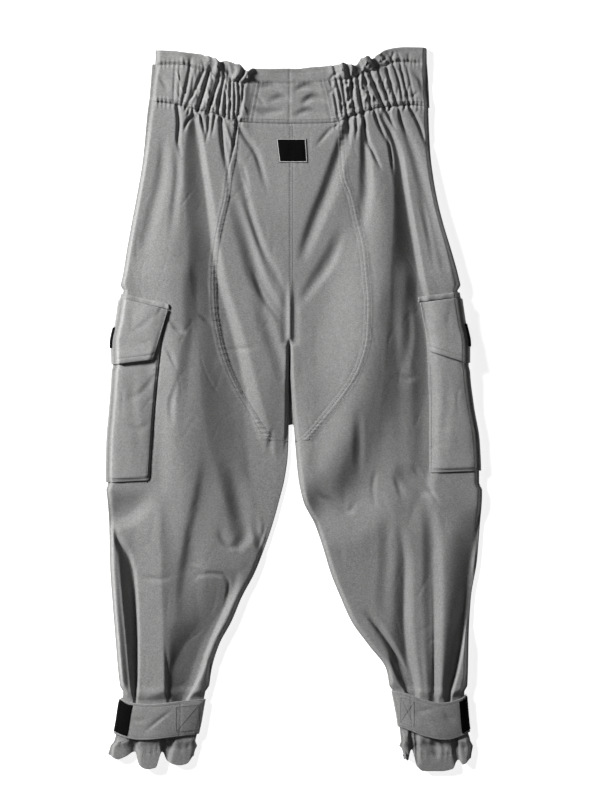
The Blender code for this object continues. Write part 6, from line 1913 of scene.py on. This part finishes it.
@dataclass
class AnkleStrap:
    """The strap round a cuff, with the dark patch on its end."""

    strap: Strap
    room: Workroom
    columns: int = 84
    middle: float = 900.0
    patch_thickness: float = 1.1
    crown: float = 0.9
    stitch_inset: float = 2.6
    stitch_shares: tuple[float, float] = (0.055, 0.945)
    box_shares: tuple[float, float] = (0.14, 0.86)
    heights: Array = field(init=False)

    def surface(self) -> None:
        """Work out the map of the strap's upper face."""
        lay = LAYOUT
        top, bottom = lay.strap_drop(self.strap, ACROSS, 0.0), lay.strap_drop(self.strap, ACROSS, 1.0)
        share = (DROP - top) / (bottom - top)
        face = lay.strap_under(self.strap.side, ACROSS, DROP) + lay.cloth
        side = lay.outer(self.strap.side, DROP)
        inner = lay.inner(self.strap.side, DROP)
        near = ease(np.minimum(np.abs(ACROSS - side), np.abs(ACROSS - inner)) / 9.0)
        relief = self.room.relief
        face = face + near * self.crown * (np.sin(np.pi * np.clip(share, 0, 1)) ** 0.6 - 0.75)
        for crease in STRAP_CREASES[self.strap.side]:
            relief.press(face, crease)
        edge = np.minimum(share, 1 - share) * (bottom - top)
        face += near * relief.groove(edge - self.stitch_inset, 0.35)
        rng = np.random.default_rng(60 + self.strap.side.value)
        self.heights = face + 0.2 * near * noise(rng, 8.0, 6.0)

    def ends(self, share: float) -> tuple[float, float]:
        """Give the across positions of the leg's inseam and side at a share of the strap's width."""
        lay, strap = LAYOUT, self.strap
        return tuple(float(line(strap.side, lay.strap_drop(strap, line(strap.side, self.middle), share)))
                     for line in (lay.inner, lay.outer))

    def band(self) -> bpy.types.Object:
        """Build the closed band about both layers of the leg."""
        lay, strap, s = LAYOUT, self.strap, self.strap.side.value
        shares = np.concatenate([[0.0, 0.02, 0.04, 0.06, 0.09], np.linspace(0.13, 0.87, 18),
                                 [0.91, 0.94, 0.96, 0.98, 1.0]])
        rows = []
        angles = np.radians(np.linspace(0, 180, 10))[1:-1]
        beyond, rise = lay.wrap_outer * np.sin(angles), lay.wrap_outer * np.cos(angles)
        middle = lay.cloth + lay.wrap_inner
        for share in shares:
            inner, edge = self.ends(share)
            over = between((inner, edge), np.linspace(0, 1, self.columns))
            height = sample(self.heights, over, lay.strap_drop(strap, over, share))
            height[[0, -1]] = middle + lay.wrap_outer
            under = between((edge, inner), np.linspace(0, 1, 30))
            across = np.concatenate([over, edge + s * beyond, under, inner - s * beyond])
            heights = np.concatenate([height, middle + rise, np.zeros(30), middle - rise])
            rows.append(place(across, lay.strap_drop(strap, across, share), heights))
        points = np.array(rows)
        shell = Shell(points, np.full(points.shape[:2], 0.1), closed=True).lips(1.4, 3.0, -s, ("top", "bottom"))
        return self.room.cloth(shell, "strap_" + strap.side.label, "ankle_strap_" + strap.side.label)

    def patch(self) -> bpy.types.Object:
        """Build the dark patch, turned round the side of the cuff."""
        lay, strap, s = LAYOUT, self.strap, self.strap.side.value
        above = self.patch_thickness
        rows = []
        for share in np.linspace(0.06, 0.94, 22):
            edge = self.ends(share)[1]
            across = (edge - s * np.linspace(strap.patch_width, 0, 14))[None, :]
            height = sample(self.heights, across, lay.strap_drop(strap, across, share)) + above
            height[:, -1] = lay.cloth + lay.wrap_inner + lay.wrap_outer + above
            path, rise = Wrap(strap.side).section(across, height, np.array([[edge]]), np.array([[lay.cloth]]),
                                                  lay.wrap_outer + above, lay.wrap_inner, 120.0)
            rows.append(place(path, lay.strap_drop(strap, path, share), rise)[0])
        points = np.array(rows)
        shell = Shell(points, np.zeros(points.shape[:2])).lips(0.9, 2.0, -s)
        return self.room.dark(shell, "patch_" + strap.side.label, "strap_patch_" + strap.side.label)

    def stitches(self) -> bpy.types.Object:
        """Sew the strap's edges and the box with a cross by its inner end."""
        lay, strap, s = LAYOUT, self.strap, self.strap.side.value
        inner = float(lay.inner(strap.side, self.middle)) + s * 0.6
        outer = float(lay.outer(strap.side, self.middle)) - s * (strap.patch_width + 1)
        across = np.linspace(inner, outer, 160)
        paths = []
        for share in self.stitch_shares:
            paths.append(on_map(self.heights, across, lay.strap_drop(strap, across, share), 0.2))
        near, far = inner + s * 1, inner + s * strap.box_end
        high, low = self.box_shares
        corners = ((near, high), (far, high), (far, low), (near, low), (near, high), (far, low), (far, high),
                   (near, low))
        for (x0, s0), (x1, s1) in zip(corners, corners[1:]):
            t = np.linspace(0, 1, 30)
            x = between((x0, x1), t)
            paths.append(on_map(self.heights, x, lay.strap_drop(strap, x, between((s0, s1), t)), 0.2))
        return self.room.stitches("strap_stitches_" + strap.side.label, paths, 2.8)

    def build(self) -> None:
        """Build the strap's pieces."""
        self.surface()
        band, patch, sewn = self.band(), self.patch(), self.stitches()


@dataclass
class SeatLabel:
    """The dark label at the centre back, bare, with its thin pale border."""

    room: Workroom
    left: tuple[float, float] = (-18.0, -14.0)
    right: tuple[float, float] = (21.0, 23.0)
    drop: tuple[float, float] = (121.0, 152.5)
    width: float = 37.0
    border: float = 0.9
    margin: float = 4.0
    cells: tuple[int, int] = (22, 20)
    thickness: float = 1.1
    crown: float = 0.35

    def build(self) -> None:
        """Build the label."""
        width, length = self.width, self.drop[1] - self.drop[0]
        marks = np.array((0.0, self.border, 2.6))
        across_share, down_share = (
            np.concatenate([marks, np.linspace(self.margin, size - self.margin, count), size - marks[::-1]]) / size
            for size, count in zip((width, length), self.cells))
        down_share = down_share[:, None]
        across = between((between(self.left, down_share), between(self.right, down_share)), across_share)
        drop = np.broadcast_to(self.drop[0] + length * down_share, across.shape)
        ground = blur(self.room.relief.heights, 3.0, 4.0)
        height = np.maximum(sample(ground, across, drop), self.room.relief.at(across, drop)) + self.thickness
        inside = np.minimum(np.minimum(across_share, 1 - across_share) * width,
                            np.minimum(down_share, 1 - down_share) * length)
        height += self.crown * ease((inside - 1.6) / 4.0)
        shell = Shell(place(across, drop, height), np.zeros(across.shape)).lips(1.0, 3.0, -1.0)
        rim = np.zeros((shell.points.shape[0] - 1, shell.points.shape[1] - 1), int)
        rim[4:-4, 4:-4] = 1
        rim[5:-5, 5:-5] = 0
        made = shell.piece("label_centre_back", self.room.tape, self.room.border, rim)
        self.room.settle(made, "label", ["seat_label"])


@dataclass
class Studio:
    """The pale floor, the soft light from the upper left and the camera straight above."""

    centre: tuple[float, float] = (13.5, 472.5)
    frame_height: float = 1.08
    lens: float = 110.0
    key_power: float = 252.0
    fill_power: float = 2.0
    sky: float = 0.055
    floor_size: float = 8.0
    floor_gap: float = 0.0004

    def floor(self) -> None:
        """Lay the floor."""
        mesh = bpy.data.meshes.new("floor")
        size = 0.5 * self.floor_size
        mesh.from_pydata([(-size, -size, 0), (size, -size, 0), (size, size, 0), (-size, size, 0)], [], [(0, 1, 2, 3)])
        mesh.materials.append(FloorFinish().material())
        made = show("floor", mesh)
        made.location.z = -self.floor_gap

    def lamp(self, name: str, place_at: tuple[float, float, float], size: float, power: float) -> None:
        """Hang one soft square lamp that faces the garment."""
        light = bpy.data.lights.new(name, "AREA")
        light.shape = "SQUARE"
        light.size = size
        light.energy = power
        made = show(name, light)
        made.location = place_at
        made.rotation_euler = (-made.location).to_track_quat("-Z", "Y").to_euler()

    def camera(self) -> None:
        """Set the camera straight above, framed as the photograph is."""
        data = bpy.data.cameras.new("camera")
        data.lens = self.lens
        data.sensor_width = 36.0
        middle = place(np.array(self.centre[0]), np.array(self.centre[1]), np.array(0.0)) * METRE
        distance = 0.5 * self.frame_height / (0.5 * data.sensor_width / data.lens)
        made = show("camera", data)
        made.location = (middle[0], middle[1], distance)
        bpy.context.scene.camera = made

    def build(self) -> None:
        """Set the stage."""
        self.floor()
        self.lamp("key", (-2.75, 1.55, 1.6), 0.7, self.key_power)
        self.lamp("fill", (1.8, -1.2, 2.6), 2.2, self.fill_power)
        world = bpy.data.worlds.new("soft_room")
        world.use_nodes = True
        Wiring(world.node_tree).feed(world.node_tree.nodes["Background"], {0: (1.0, 1.0, 1.0, 1.0), 1: self.sky})
        bpy.context.scene.world = world
        bpy.context.scene.view_settings.view_transform = "Standard"
        self.camera()


def main() -> None:
    """Build the garment's sub-assemblies in order, then the studio."""
    logging.basicConfig(level=logging.INFO, format="%(message)s")
    relief = Relief()
    relief.build()
    log.info("relief: heights to %.1f mm", relief.heights.max())
    effects = Effects()
    room = Workroom(relief, TWILL.material(effects), THREAD.material(effects), TAPE.material(effects),
                    BORDER.material(effects))
    for side in Side:
        Leg(side, room).build()
    Seat(room).build()
    Waist(room).build()
    for pocket in POCKETS:
        CargoPocket(pocket, room).build()
    for strap in STRAPS:
        AnkleStrap(strap, room).build()
    SeatLabel(room).build()
    Studio().build()


if __name__ == "__main__":
    main()
